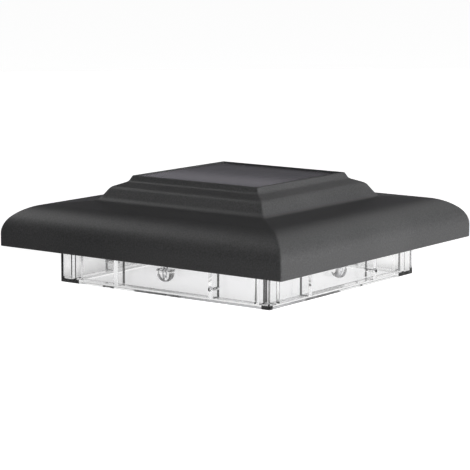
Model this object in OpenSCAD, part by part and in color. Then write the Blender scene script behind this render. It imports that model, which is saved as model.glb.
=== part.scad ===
// Solar fence post light: a cast cap with a solar panel on a clear lens that slips over a square post.
// Millimetres, +Z up. The origin is the centre of the lens's bottom edge, where the light stands.

/* [Cap] */
// Width of the square cap across its rim
cap_w = 200; // [190:1:230]
// Height of the cap from its rim to its flat top
cap_h = 40.3; // [38.5:0.1:48]
// Wall thickness of the cast cap
cap_wall = 2.2; // [1.6:0.1:2.8]
// Height of the straight skirt above the rim
skirt_h = 7.2; // [5:0.1:9]
// Radius of the lower shoulder curve
shoulder_r = 14.3; // [11:0.1:16]
// Radius of the upper shoulder curve
crest_r = 25.6; // [20:0.1:28]
// Slope where the two shoulder curves meet, in degrees
shoulder_turn = 41.6; // [36:0.1:48]
// Slope of the nearly flat roof, in degrees
roof_slope = 4.5; // [2:0.5:8]
// Radius of the hollow at the tier's foot
foot_r = 6; // [4:0.1:8]
// Slope of the tier's face, in degrees
tier_slope = 57; // [50:0.5:65]
// Radius of the brow over the tier's face
brow_r = 5; // [3.2:0.1:6]
// Slope of the ledge under the crown, in degrees
ledge_slope = 22; // [18:0.5:26]
// Level run of the ledge
ledge_run = 5; // [4:0.1:7]
// Radius of the cove between the ledge and the crown
cove_r = 3; // [2:0.1:4.5]
// Slope of the crown's face, in degrees
crown_slope = 63; // [56:0.5:72]
// Height of the crown's face
crown_h = 2.2; // [1.6:0.1:3.6]
// Radius of the crown's top edge
crown_edge_r = 0.5; // [0.4:0.1:1.2]
// Width of the metal border round the solar panel
top_rim = 1.3; // [0.9:0.1:3]
// Thickness of the floor under the solar panel
floor_t = 1.8; // [1.2:0.1:2.6]
// Radius of the four screw bosses under the roof
boss_r = 4; // [3.2:0.1:5]
// Distance of each screw boss from the middle planes
boss_at = 56; // [50:0.5:58]

/* [Solar panel] */
// Width of the square solar panel
panel_w = 86.5; // [80:0.1:92]
// Gap between the panel and its recess
panel_gap = 0.3; // [0.2:0.05:0.6]
// Depth of the panel's face below the cap's top
panel_drop = 0.5; // [0.1:0.05:0.7]
// Thickness of the panel's circuit board
backing_t = 1; // [0.8:0.1:1.6]
// Thickness of the clear cover over the cells
cover_t = 1.5; // [1:0.1:2]
// Thickness of the adhesive frame under the panel
tape_t = 0.5; // [0.3:0.1:1]
// Width of the adhesive frame
tape_w = 6; // [4:0.5:10]
// Thickness of a solar cell
cell_t = 0.25; // [0.2:0.05:0.4]
// Gap between neighbouring solar cells
cell_gap = 1.6; // [1:0.1:3]
// Border between the cells and the panel's edge
cell_border = 2; // [1.2:0.1:4]
// Width of a tinned ribbon on the cells
ribbon_w = 1.2; // [0.8:0.1:2]
// Thickness of a tinned ribbon
ribbon_t = 0.1; // [0.08:0.01:0.2]
// Radius of the wire hole in the floor under the panel
wire_hole_r = 5; // [4.5:0.1:7]

/* [Post and lens] */
// Width of the square post that the light slips over
post_w = 127; // [120:0.5:130]
// Wall thickness of that hollow post
post_wall = 3.6; // [3:0.1:5]
// Play between the post and the lens's collar, on each side
post_play = 2.2; // [1:0.1:3]
// Thickness of the collar round the post
collar_t = 1.5; // [1.2:0.1:2]
// Width of the lamp channel between the collar and the outer wall
channel_w = 6; // [5.9:0.1:8]
// Thickness of the lens's outer wall
lens_wall = 1.8; // [1.4:0.1:2.4]
// Reach of the lens below the cap's rim
lens_drop = 22; // [20:0.5:30]
// Reach of the lens above the cap's rim
lens_rise = 3; // [2.5:0.1:5]
// Thickness of the floor that closes the channel
lens_floor = 2; // [1.4:0.1:3]
// Thickness of the webs across the channel
web_t = 3.2; // [2.8:0.1:3.6]
// Distance of the inner webs from the middle of each wall
web_at = 34; // [26:0.5:44]
// Radius of the hole for a post screw
post_hole_r = 1; // [0.8:0.05:1.2]
// Height of that hole above the lens's bottom edge
post_hole_z = 7; // [5:0.5:10]
// Depth of the screw pillars in the lens's corners
pillar_h = 8; // [6:0.5:9]

/* [Tray] */
// Thickness of the tray's plate
tray_t = 2; // [1.6:0.1:2.4]
// Thickness of the lip round the lens's top edge
lip_t = 1.5; // [1:0.1:2]
// Depth of that lip
lip_h = 2; // [1.5:0.1:2.5]
// Gap between the lip and the lens
lip_gap = 0.3; // [0.2:0.05:0.5]
// Depth of the bars that rest on the post
stop_h = 2; // [1.9:0.1:2.3]
// Length of each of those bars
stop_l = 60; // [40:1:80]
// Radius of the hole in the tray over each lamp
lamp_hole_r = 2.4; // [2:0.1:2.8]
// Height of the ribs on top of the tray
rib_h = 2.5; // [1.5:0.1:3]
// Thickness of those ribs
rib_t = 1.4; // [1:0.1:2]

/* [Battery] */
// Diameter of a rechargeable cell
cell_d = 14.5; // [13.9:0.1:15]
// Length of a rechargeable cell over its button
cell_len = 50.5; // [49:0.1:52]
// Radius of the cell's button
button_r = 2.75; // [2.3:0.05:3]
// Height of the cell's button
button_h = 1.2; // [0.8:0.1:1.6]
// Gap round each cell in the well
cell_play = 0.5; // [0.3:0.1:1]
// Length of a contact spring between its plate and the cell
spring_len = 6.6; // [5.5:0.1:8]
// Radius of the spring's wire
spring_wire_r = 0.4; // [0.3:0.05:0.5]
// Number of turns of a contact spring
spring_turns = 5; // [4:1:6]
// Radius of the spring's wide end
spring_wide_r = 4.2; // [3.5:0.1:5]
// Radius of the spring's narrow end
spring_narrow_r = 2.6; // [2:0.1:3.2]
// Thickness of a contact plate
contact_t = 0.4; // [0.3:0.05:0.6]
// Width of a contact plate
contact_w = 11; // [9:0.5:12.5]
// Wall thickness of the battery well
well_wall = 1.6; // [1.2:0.1:2.4]

/* [Battery door] */
// Thickness of the door
door_t = 2; // [1.6:0.1:2.2]
// Land of the door past the well, on each side
door_land = 3.5; // [3:0.1:5]
// Gap between the door and its recess
door_gap = 0.3; // [0.25:0.05:0.5]
// Thickness of the rubber seal on the door
seal_t = 0.7; // [0.5:0.05:0.9]
// Width of the rubber seal
seal_w = 2; // [1.5:0.1:2.6]
// Radius of the hinge pin
pin_r = 0.8; // [0.7:0.05:1]
// Running clearance between the pin and the door's barrel
pin_play = 0.05; // [0.02:0.01:0.1]
// Radius of the hinge barrel
barrel_r = 1.8; // [1.6:0.05:1.8]
// Length of the hinge barrel
barrel_l = 36; // [24:1:44]
// Width of the two ears that hold the pin
ear_w = 4; // [3:0.1:5]
// Radius of the finger scoop at the door's free edge
scoop_r = 8; // [6:0.5:10]

/* [Circuit board] */
// Length of the circuit board
pcb_l = 58; // [54:1:64]
// Width of the circuit board
pcb_w = 24; // [22:1:28]
// Thickness of the circuit board
pcb_t = 1.6; // [1:0.1:2]
// Height of the posts under the circuit board
pcb_post_h = 6; // [5.6:0.1:8]
// Radius of those posts
pcb_post_r = 2.2; // [1.8:0.1:2.4]
// Gap between the circuit board and the battery door's frame
pcb_gap = 5; // [3:0.5:7]
// Radius of the capacitor
capacitor_r = 3.15; // [2.5:0.05:4]
// Height of the capacitor
capacitor_h = 7; // [5:0.5:11]
// Radius of the inductor's flanges
inductor_r = 4; // [3:0.1:4.5]
// Height of the inductor
inductor_h = 5.5; // [4:0.5:8]

/* [Switch] */
// Length of the slide switch
switch_l = 11.5; // [11:0.1:14]
// Width of the slide switch
switch_w = 5.6; // [5.2:0.1:7]
// Travel of the slider
switch_travel = 3.5; // [2:0.1:4]
// Length of the slider's knob
knob_l = 3; // [2.4:0.1:3.4]
// Width of the slider's knob
knob_w = 2; // [1.6:0.1:2.4]
// Gap round the knob in its slot
knob_gap = 0.3; // [0.2:0.05:0.4]
// Reach of the knob below the tray
knob_reach = 1.4; // [1:0.1:1.7]

/* [Lamps] */
// Radius of a lamp's clear bulb, along the wall
led_r = 5; // [4.4:0.1:5.3]
// Thickness of the bulb across the channel, over its two flats
led_t = 5; // [4.2:0.1:5.1]
// Reach of the bulb's flange past its body
led_lip = 0.35; // [0.2:0.05:0.4]
// Height of the flange
led_flange_h = 1; // [0.8:0.1:1.2]
// Length of the bulb over its dome
led_len = 7.4; // [6.9:0.1:8.8]
// Reach of the bulb's tip below the cap's rim
led_reach = 14.7; // [13:0.1:16]
// Thickness of a lamp's leads
lead_t = 0.5; // [0.4:0.05:0.6]
// Distance between a lamp's two leads
lead_pitch = 2.54; // [2.4:0.02:2.6]
// Width of the leads next to the bulb
lead_wide = 1; // [0.8:0.05:1.2]
// Thickness of a lamp's circuit board
lamp_board_t = 1; // [0.8:0.1:1.6]
// Radius of the insulated wires
wire_r = 0.55; // [0.4:0.05:0.6]

/* [Screws] */
// Radius of the screws that hold the tray to the cap
tray_screw_r = 1.45; // [1.2:0.05:1.6]
// Length of those screws under the head
tray_screw_l = 9.5; // [8:0.5:12]
// Radius of the screws that hold the lens to the tray
lens_screw_r = 1.1; // [0.9:0.05:1.3]
// Length of those screws under the head
lens_screw_l = 8; // [6:0.5:9]
// Radius of the screws that hold the circuit board
pcb_screw_r = 1; // [0.8:0.05:1.1]
// Length of those screws under the head
pcb_screw_l = 5.5; // [4:0.5:6.5]
// Clearance round a screw in its bore
screw_gap = 0.06; // [0.02:0.01:0.1]
// Clearance round a screw where it passes through a plate
pass_gap = 0.25; // [0.15:0.05:0.4]

/* [Hidden] */
$fn = 48;
eps = 0.01;
over = 1;
arc_steps = 6;
wire_sides = 8;
coil_steps = 8;
coil_sides = 6;

// Levels, from the lens's bottom edge upwards
rim_z = lens_drop;
tray_z = rim_z + lens_rise;
tray_top = tray_z + tray_t;
stop_z = tray_z - stop_h;
cap_top = rim_z + cap_h;
cover_top = cap_top - panel_drop;
cover_z = cover_top - cover_t;
backing_z = cover_z - backing_t;
recess_z = backing_z - tape_t;
ceiling_z = recess_z - floor_t;

// Half widths, from the post outwards
collar_in = post_w / 2 + post_play;
collar_out = collar_in + collar_t;
channel_out = collar_out + channel_w;
lens_half = channel_out + lens_wall;
lip_in = lens_half + lip_gap;
tray_half = lip_in + lip_t;
lamp_at = collar_out + channel_w / 2;
recess_half = panel_w / 2 + panel_gap;
flat_half = recess_half + top_rim;
cap_half = cap_w / 2;

// Battery well, its door and its hinge
contact_gap = 0.1;
cell_lift = 0.4;
well_l = cell_len + spring_len + 2 * contact_t + contact_gap;
well_w = 2 * cell_d + 3 * cell_play;
well_top = tray_top + cell_lift + cell_d + cell_play;
cell_at_y = (cell_d + cell_play) / 2;
cell_z = tray_top + cell_lift + cell_d / 2;
plate_z0 = tray_top + 1;
plate_z1 = well_top - 0.5;
tab_w = 3;
tab_gap = 0.25;
tab_reach = 2;
door_half = [well_l / 2 + door_land, well_w / 2 + door_land];
mouth_half = door_half + [door_gap, door_gap];
frame_half = mouth_half + [well_wall, well_wall];
frame_top = tray_top + well_wall;
door_top = tray_top - seal_t - contact_gap;
door_z = door_top - door_t;
pad_in = 4;
pad_gap = 0.3;
nub_at = 20;
nub_l = 5;
nub_t = 0.15;
spring_gap = 0.05;
hinge_gap = 0.3;
hinge_y = -(mouth_half.y + barrel_r);
hinge_z = stop_z + hinge_gap + barrel_r;
pocket_y = hinge_y - barrel_r - hinge_gap;
pocket_top = hinge_z + barrel_r + hinge_gap;
ear_in = barrel_l / 2 + hinge_gap;
ear_out = ear_in + ear_w;

// Circuit board and switch
pcb_y = frame_half.y + pcb_gap + pcb_w / 2;
pcb_z = tray_top + pcb_post_h;
pcb_top = pcb_z + pcb_t;
pcb_post_x = pcb_l / 2 - 4;
pcb_post_y = pcb_w / 2 - 3.5;
chip_x = -pcb_l * 0.155;
inductor_x = pcb_l * 0.05;
capacitor_x = pcb_l * 0.24;
resistor_x = pcb_l * 0.086;
resistor_pitch = pcb_l * 0.086;
resistor_y = pcb_w * 0.29;
knob_y = pcb_y;
slot_l = knob_l + switch_travel + 2 * knob_gap;
slot_w = knob_w + 2 * knob_gap;
slot_mid = switch_travel / 2;
switch_wall = 0.6;
switch_z = tray_top + 0.3;
foot_l = knob_l + 1.4;
foot_w = knob_w + 1.4;
foot_h = 1.2;
foot_z = switch_z + switch_wall + 0.1;

// Lamps and solar panel
led_top = rim_z - led_reach + led_len;
frame_l = led_len * 0.98;
cup_r = 1;
cup_h = 1.4;
lead_stub = 0.6;
lead_wide_l = 2.6;
lead_hole_r = 0.45;
lamp_board = [11, 6];
lamp_peg_x = 4;
lamp_peg_r = 0.8;
lamp_peg_h = 0.6;
cell_side = (panel_w - 2 * cell_border - cell_gap) / 2;
cell_at = (cell_side + cell_gap) / 2;
ribbon_at = cell_side / 4;
cell_top = cover_z + cell_t;
wire_hole_y = pcb_y - pcb_w / 2 + wire_hole_r;
ribbon_l = 2 * cell_side + cell_gap;

// The cap's moulding: a step inwards and upwards for each curve and slope
function arc_step(r, s0, s1) = r * [abs(sin(s0) - sin(s1)), abs(cos(s0) - cos(s1))];
shoulder_step = arc_step(shoulder_r, 90, shoulder_turn);
crest_step = arc_step(crest_r, shoulder_turn, roof_slope);
foot_step = arc_step(foot_r, roof_slope, tier_slope);
brow_step = arc_step(brow_r, tier_slope, ledge_slope);
ledge_step = [ledge_run, ledge_run * tan(ledge_slope)];
cove_step = arc_step(cove_r, ledge_slope, crown_slope);
crown_step = [crown_h / tan(crown_slope), crown_h];
edge_step = arc_step(crown_edge_r, crown_slope, 0);
fixed_step = shoulder_step + crest_step + foot_step + brow_step + ledge_step + cove_step + crown_step
    + edge_step;
// The tier's face and the roof take up what the curves leave
spare_in = cap_half - flat_half - fixed_step.x;
spare_up = cap_h - skirt_h - fixed_step.y;
face_l = (spare_up - spare_in * tan(roof_slope)) / (sin(tier_slope) - cos(tier_slope) * tan(roof_slope));
roof_run = spare_in - face_l * cos(tier_slope);

function inward(p, step) = [p.x - step.x, p.y + step.y];
skirt_p = [cap_half, skirt_h];
turn_p = inward(skirt_p, shoulder_step);
crest_p = inward(turn_p, crest_step);
roof_p = inward(crest_p, [roof_run, roof_run * tan(roof_slope)]);
foot_p = inward(roof_p, foot_step);
brow_p = inward(foot_p, face_l * [cos(tier_slope), sin(tier_slope)]);
ledge_p = inward(brow_p, brow_step);
cove_p = inward(ledge_p, ledge_step);
crown_p = inward(cove_p, cove_step);
edge_p = inward(crown_p, crown_step);

// Points with their slope along a curve, after its start: bulge is 1 for a round edge and -1 for a hollow
function curve(p, r, s0, s1, bulge) = [for (i = [1:arc_steps])
    let (s = s0 + (s1 - s0) * i / arc_steps)
    [p.x - bulge * r * (sin(s0) - sin(s)), p.y - bulge * r * (cos(s0) - cos(s)), s]];
function start(p, slope) = [[p.x, p.y, slope]];

moulding = concat(
    start([skirt_p.x, 0], 90),
    start(skirt_p, 90),
    curve(skirt_p, shoulder_r, 90, shoulder_turn, 1),
    curve(turn_p, crest_r, shoulder_turn, roof_slope, 1),
    start(roof_p, roof_slope),
    curve(roof_p, foot_r, roof_slope, tier_slope, -1),
    start(brow_p, tier_slope),
    curve(brow_p, brow_r, tier_slope, ledge_slope, 1),
    start(cove_p, ledge_slope),
    curve(cove_p, cove_r, ledge_slope, crown_slope, -1),
    start(edge_p, crown_slope));
crown_edge = curve(edge_p, crown_edge_r, crown_slope, 0, 1);

// The moulding moved inwards by a depth
function inset(points, depth) = [for (p = points) [p.x - depth * sin(p.z), p.y - depth * cos(p.z)]];
function mirrored(points) = concat(points, [for (i = [len(points) - 1:-1:0]) [-points[i].x, points[i].y]]);

// A square moulded form: one section run both ways, so that the corners mitre
module mitred(section) {
    reach = cap_w + 2 * over;
    translate([0, 0, rim_z])
        intersection() {
            rotate([90, 0, 0]) linear_extrude(reach, center = true) polygon(section);
            rotate([90, 0, 90]) linear_extrude(reach, center = true) polygon(section);
        }
}

module square_ring(outer, inner, z0, z1) {
    difference() {
        slab([-outer, -outer], [outer, outer], z0, z1);
        slab([-inner, -inner], [inner, inner], z0 - over, z1 + over);
    }
}

module slab(low, high, z0, z1) {
    translate([low.x, low.y, z0]) cube([high.x - low.x, high.y - low.y, z1 - z0]);
}

module at_corners(d) {
    for (x = [-d, d], y = [-d, d]) translate([x, y, 0]) children();
}

module on_four_sides() {
    for (turn = [0:90:270]) rotate(turn) children();
}

// A pan-head screw, head up, with the underside of its head at z = 0
module screw(r, l) {
    head_r = 1.9 * r;
    head_h = 1.2 * r;
    slot_w = 0.5 * r;
    difference() {
        union() {
            cylinder(r = head_r, h = head_h * 0.6);
            translate([0, 0, head_h * 0.6]) cylinder(r1 = head_r, r2 = head_r * 0.72, h = head_h * 0.4);
            translate([0, 0, -l * 0.85]) cylinder(r = r, h = l * 0.85 + eps);
            translate([0, 0, -l]) cylinder(r1 = r * 0.45, r2 = r, h = l * 0.15 + eps);
        }
        for (turn = [0, 90]) rotate(turn)
            translate([-head_r * 0.6, -slot_w / 2, head_h * 0.5])
                cube([head_r * 1.2, slot_w, head_h]);
    }
}

// A tube swept along a route. The side vector is never parallel to the route.
function unit(v) = v / norm(v);
function along(route, i) = unit(route[min(i + 1, len(route) - 1)] - route[max(i - 1, 0)]);
function eased(route) = concat([route[0]],
    [for (i = [0:len(route) - 2], share = [0.25, 0.75])
        if ((i > 0 || share > 0.5) && (i < len(route) - 2 || share < 0.5))
            route[i] * (1 - share) + route[i + 1] * share],
    [route[len(route) - 1]]);
function ring(centre, t, side, r, n) =
    let (u = unit(side - (side * t) * t), v = cross(t, u))
    [for (k = [0:n - 1]) centre + r * (cos(360 * k / n) * u + sin(360 * k / n) * v)];

module swept(route, side, r, n) {
    last = len(route) - 1;
    points = [for (i = [0:last]) each ring(route[i], along(route, i), side, r, n)];
    walls = [for (i = [0:last - 1], k = [0:n - 1], half = [0, 1])
        let (a = i * n + k, b = i * n + (k + 1) % n)
        half == 0 ? [a, a + n, b] : [b, a + n, b + n]];
    ends = [for (k = [1:n - 2]) each [[0, k, k + 1], [last * n, last * n + k + 1, last * n + k]]];
    polyhedron(points = points, faces = concat(walls, ends), convexity = 6);
}

module wire(route, side) {
    swept(eased(eased(route)), side, wire_r, wire_sides);
}

// CAP

module cap_shell() {
    color("#3f4043") difference() {
        union() {
            difference() {
                mitred(mirrored(inset(concat(moulding, crown_edge), 0)));
                cap_hollow();
            }
            intersection() {
                at_corners(boss_at) translate([0, 0, tray_top]) cylinder(r = boss_r, h = cap_top);
                mitred(mirrored(inset(moulding, cap_wall / 2)));
            }
        }
        slab([-recess_half, -recess_half], [recess_half, recess_half], recess_z, cap_top + over);
        translate([0, wire_hole_y, ceiling_z - over]) cylinder(r = wire_hole_r, h = floor_t + 2 * over);
        at_corners(boss_at) translate([0, 0, tray_top - over])
            cylinder(r = tray_screw_r + screw_gap, h = tray_screw_l + over);
    }
}

module cap_hollow() {
    intersection() {
        mitred(mirrored(concat([[cap_half - cap_wall, -over]], inset(moulding, cap_wall))));
        slab([-cap_half, -cap_half], [cap_half, cap_half], rim_z - over, ceiling_z);
    }
}

// SOLAR PANEL

module panel_tape() {
    color("#1b1b1c") square_ring(panel_w / 2, panel_w / 2 - tape_w, recess_z, backing_z);
}

module panel_backing() {
    color("#20242b") slab([-panel_w / 2, -panel_w / 2], [panel_w / 2, panel_w / 2], backing_z, cover_z);
}

module solar_cells() {
    color("#3b3a4a") at_corners(cell_at)
        slab([-cell_side / 2, -cell_side / 2], [cell_side / 2, cell_side / 2], cover_z, cell_top);
}

module cell_ribbons() {
    color("#8f9196") for (x = [-cell_at, cell_at], step = [-ribbon_at, ribbon_at])
        slab([x + step - ribbon_w / 2, -ribbon_l / 2], [x + step + ribbon_w / 2, ribbon_l / 2],
            cell_top, cell_top + ribbon_t);
}

module panel_cover() {
    color("#6f7080", 0.35) difference() {
        slab([-panel_w / 2, -panel_w / 2], [panel_w / 2, panel_w / 2], cover_z, cover_top);
        translate([0, 0, -eps]) solar_cells();
        solar_cells();
        cell_ribbons();
    }
}

// LENS

module lens() {
    color("#e8ecef", 0.35) difference() {
        union() {
            square_ring(lens_half, channel_out, 0, tray_z);
            square_ring(collar_out, collar_in, 0, tray_z);
            square_ring(lens_half, collar_in, 0, lens_floor);
            on_four_sides() lens_side();
            at_corners(lamp_at) pillar();
        }
        on_four_sides() translate([web_at, -collar_in + over, post_hole_z])
            rotate([90, 0, 0]) cylinder(r = post_hole_r, h = lens_half - collar_in + 2 * over);
        at_corners(lamp_at) translate([0, 0, tray_z - lens_screw_l])
            cylinder(r = lens_screw_r + screw_gap, h = lens_screw_l + over);
    }
}

// One side's webs: the post screw goes through one of the inner two
module lens_side() {
    corner_web_at = collar_out - web_t / 2;
    for (x = [-corner_web_at, -web_at, web_at, corner_web_at])
        slab([x - web_t / 2, -channel_out - eps], [x + web_t / 2, -collar_out + eps],
            lens_floor - eps, tray_z);
}

module pillar() {
    half = channel_w / 2 + eps;
    slab([-half, -half], [half, half], tray_z - pillar_h, tray_z);
}

// TRAY

module tray() {
    color("#2a2b2d") difference() {
        union() {
            slab([-tray_half, -tray_half], [tray_half, tray_half], tray_z, tray_top);
            square_ring(tray_half, lip_in, tray_z - lip_h, tray_z + eps);
            slab(-frame_half, frame_half, tray_z, frame_top);
            slab([-ear_out - well_wall, pocket_y - well_wall], [ear_out + well_wall, -mouth_half.y],
                tray_z, pocket_top + well_wall);
            well_walls();
            tray_ribs();
            on_four_sides() stop_bar();
            on_four_sides() for (x = [-lamp_peg_x, lamp_peg_x]) translate([x, -lamp_at, tray_z])
                cylinder(r = lamp_peg_r, h = tray_t + lamp_board_t + lamp_peg_h);
            for (x = [-pcb_post_x, pcb_post_x], y = [-pcb_post_y, pcb_post_y])
                translate([x, pcb_y + y, tray_z]) cylinder(r = pcb_post_r, h = pcb_z - tray_z);
        }
        slab(-mouth_half, mouth_half, tray_z - over, tray_top);
        slab([-ear_out, pocket_y], [ear_out, -mouth_half.y + eps], tray_z - over, pocket_top);
        slab([-well_l / 2, -well_w / 2], [well_l / 2, well_w / 2], tray_z, well_top);
        contact_slots();
        finger_scoop();
        slab([slot_mid - slot_l / 2, knob_y - slot_w / 2], [slot_mid + slot_l / 2, knob_y + slot_w / 2],
            tray_z - over, tray_top + over);
        on_four_sides() translate([0, -lamp_at, tray_z - over])
            cylinder(r = lamp_hole_r, h = tray_t + 2 * over);
        at_corners(boss_at) translate([0, 0, tray_z - over])
            cylinder(r = tray_screw_r + pass_gap, h = tray_t + 2 * over);
        at_corners(lamp_at) translate([0, 0, tray_z - over])
            cylinder(r = lens_screw_r + pass_gap, h = tray_t + 2 * over);
        for (s = [-1, 1]) translate([s * pcb_post_x, pcb_y + s * pcb_post_y, pcb_z - pcb_screw_l])
            cylinder(r = pcb_screw_r + screw_gap, h = pcb_screw_l + over);
    }
    color("#2a2b2d") for (s = [-1, 1]) hinge_ear(s);
}

module well_walls() {
    slab([-well_l / 2 - well_wall, -well_w / 2 - well_wall], [well_l / 2 + well_wall, well_w / 2 + well_wall],
        tray_top, well_top + well_wall);
}

// Stiffening ribs from the battery frame to the tray's edge
module tray_ribs() {
    rib_in = frame_half.x - eps;
    rib_out = lamp_at - lamp_board.y / 2 - rib_t;
    for (x = [-1, 1], y = [-well_w / 2, well_w / 2])
        slab([min(x * rib_in, x * rib_out), y - rib_t / 2], [max(x * rib_in, x * rib_out), y + rib_t / 2],
            tray_top - eps, tray_top + rib_h);
    for (x = [-1, 1]) slab([x * ear_out - rib_t / 2, -rib_out], [x * ear_out + rib_t / 2, pocket_y],
        tray_top - eps, tray_top + rib_h);
}

module stop_bar() {
    slab([-stop_l / 2, -post_w / 2], [stop_l / 2, -post_w / 2 + post_wall], stop_z, tray_z + eps);
}

// Room for each contact plate's tab in the roof of the well
module contact_slots() {
    for (end = [-1, 1], y = [-cell_at_y, cell_at_y])
        slab([end * (well_l / 2 - contact_t / 2) - contact_t / 2 - tab_gap, y - tab_w / 2 - tab_gap],
            [end * (well_l / 2 - contact_t / 2) + contact_t / 2 + tab_gap, y + tab_w / 2 + tab_gap],
            well_top - eps, well_top + well_wall + over);
}

module finger_scoop() {
    scoop_deep = tray_t * 0.7;
    translate([0, mouth_half.y - scoop_r * 0.4, tray_z - over]) cylinder(r = scoop_r, h = scoop_deep + over);
}

module hinge_ear(side) {
    x = side > 0 ? ear_in : -ear_out;
    difference() {
        union() {
            translate([x, hinge_y, hinge_z]) rotate([0, 90, 0]) cylinder(r = barrel_r, h = ear_w);
            slab([x, hinge_y - barrel_r], [x + ear_w, hinge_y + barrel_r], hinge_z, pocket_top + eps);
        }
        translate([x - over, hinge_y, hinge_z]) rotate([0, 90, 0]) cylinder(r = pin_r, h = ear_w + 2 * over);
    }
}

module tray_screws() {
    color("#b9bcc0") at_corners(boss_at) translate([0, 0, tray_z]) mirror([0, 0, 1])
        screw(tray_screw_r, tray_screw_l);
}

module lens_screws() {
    color("#b9bcc0") at_corners(lamp_at) translate([0, 0, tray_top]) screw(lens_screw_r, lens_screw_l);
}

// BATTERY

// A cell lying along X with its button at x = 0 and its body towards -X
module battery_cell() {
    can_r = cell_d / 2;
    crimp = 0.8;
    can_l = cell_len - button_h;
    rotate([0, -90, 0]) {
        cylinder(r = button_r, h = button_h + eps);
        translate([0, 0, button_h]) cylinder(r1 = can_r - crimp, r2 = can_r, h = crimp + eps);
        translate([0, 0, button_h + crimp]) cylinder(r = can_r, h = can_l - 2 * crimp);
        translate([0, 0, button_h + can_l - crimp - eps])
            cylinder(r1 = can_r, r2 = can_r - crimp, h = crimp + eps);
    }
}

module battery_cell_a() {
    color("#5b8a5a") translate([well_l / 2 - contact_t - contact_gap, -cell_at_y, cell_z]) battery_cell();
}

module battery_cell_b() {
    color("#5b8a5a") translate([-well_l / 2 + contact_t + contact_gap, cell_at_y, cell_z])
        rotate(180) battery_cell();
}

// A plate on the end wall of the well, with a tab that stands out of the roof
module contact_plate(end, y, w) {
    x = end * (well_l / 2 - contact_t / 2);
    slab([x - contact_t / 2, y - w / 2], [x + contact_t / 2, y + w / 2], plate_z0, plate_z1);
}

module contact_tab(end, y) {
    x = end * (well_l / 2 - contact_t / 2);
    slab([x - contact_t / 2, y - tab_w / 2], [x + contact_t / 2, y + tab_w / 2],
        plate_z1 - eps, well_top + well_wall + tab_reach);
}

module contact_bridge() {
    color("#c4c6c8") contact_plate(-1, 0, contact_w + 2 * cell_at_y);
}

module contact_positive() {
    color("#c4c6c8") {
        contact_plate(1, -cell_at_y, contact_w);
        contact_tab(1, -cell_at_y);
    }
}

module contact_negative() {
    color("#c4c6c8") {
        contact_plate(1, cell_at_y, contact_w);
        contact_tab(1, cell_at_y);
    }
}

// A conical coil along +Z from its wide end at z = 0
module coil(l) {
    steps = spring_turns * coil_steps;
    rise = l - 2 * spring_wire_r;
    route = [for (i = [0:steps])
        let (share = i / steps, turn = 360 * i / coil_steps,
            r = spring_wide_r + (spring_narrow_r - spring_wide_r) * share - spring_wire_r)
        [r * cos(turn), r * sin(turn), spring_wire_r + rise * share]];
    swept(route, [0, 0, 1], spring_wire_r, coil_sides);
}
echo(least_gap_between_spring_turns = (spring_len - 2 * spring_gap - 2 * spring_wire_r) / spring_turns
    - 2 * spring_wire_r);

module contact_spring_a() {
    color("#c4c6c8") translate([-well_l / 2 + contact_t + spring_gap, -cell_at_y, cell_z])
        rotate([0, 90, 0]) coil(spring_len - 2 * spring_gap);
}

module contact_spring_b() {
    color("#c4c6c8") translate([well_l / 2 - contact_t - spring_gap, cell_at_y, cell_z])
        rotate([0, -90, 0]) coil(spring_len - 2 * spring_gap);
}

// BATTERY DOOR

module battery_door() {
    color("#2a2b2d") difference() {
        union() {
            slab(-door_half, door_half, door_z, door_top);
            slab([-barrel_l / 2, hinge_y], [barrel_l / 2, -door_half.y + eps],
                door_z, hinge_z + barrel_r * 0.6);
            translate([-barrel_l / 2, hinge_y, hinge_z]) rotate([0, 90, 0])
                cylinder(r = barrel_r, h = barrel_l);
            door_grips();
            slab([-well_l / 2 + pad_in, -well_w / 2 + pad_in], [well_l / 2 - pad_in, well_w / 2 - pad_in],
                door_top - eps, tray_top + cell_lift - pad_gap);
            for (x = [-nub_at, nub_at])
                slab([x - nub_l / 2, door_half.y - eps], [x + nub_l / 2, door_half.y + nub_t],
                door_z + 0.4, door_top - 0.4);
        }
        translate([-barrel_l / 2 - over, hinge_y, hinge_z]) rotate([0, 90, 0])
            cylinder(r = pin_r + pin_play, h = barrel_l + 2 * over);
    }
}

// Three grip bars beside the finger scoop
module door_grips() {
    grip_l = scoop_r * 1.4;
    for (i = [0:2]) slab([-grip_l / 2, door_half.y - 2 - 2.2 * i], [grip_l / 2, door_half.y - 1 - 2.2 * i],
        door_z - 0.4, door_z + eps);
}

module door_seal() {
    outer = [well_l / 2 + seal_w + 0.4, well_w / 2 + seal_w + 0.4];
    inner = outer - [seal_w, seal_w];
    color("#4a4b4d") difference() {
        slab(-outer, outer, door_top, door_top + seal_t);
        slab(-inner, inner, door_top - over, door_top + seal_t + over);
    }
}

module hinge_pin() {
    color("#c9ccd0") translate([-ear_out + eps, hinge_y, hinge_z]) rotate([0, 90, 0])
        cylinder(r = pin_r, h = 2 * (ear_out - eps));
}

// CIRCUIT BOARD

module circuit_board() {
    color("#2f6b3f") difference() {
        slab([-pcb_l / 2, pcb_y - pcb_w / 2], [pcb_l / 2, pcb_y + pcb_w / 2], pcb_z, pcb_top);
        for (s = [-1, 1]) translate([s * pcb_post_x, pcb_y + s * pcb_post_y, pcb_z - over])
            cylinder(r = pcb_screw_r + pass_gap, h = pcb_t + 2 * over);
    }
}

module board_screws() {
    color("#b9bcc0") for (s = [-1, 1]) translate([s * pcb_post_x, pcb_y + s * pcb_post_y, pcb_top])
        screw(pcb_screw_r, pcb_screw_l + pcb_t - 0.5);
}

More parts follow.
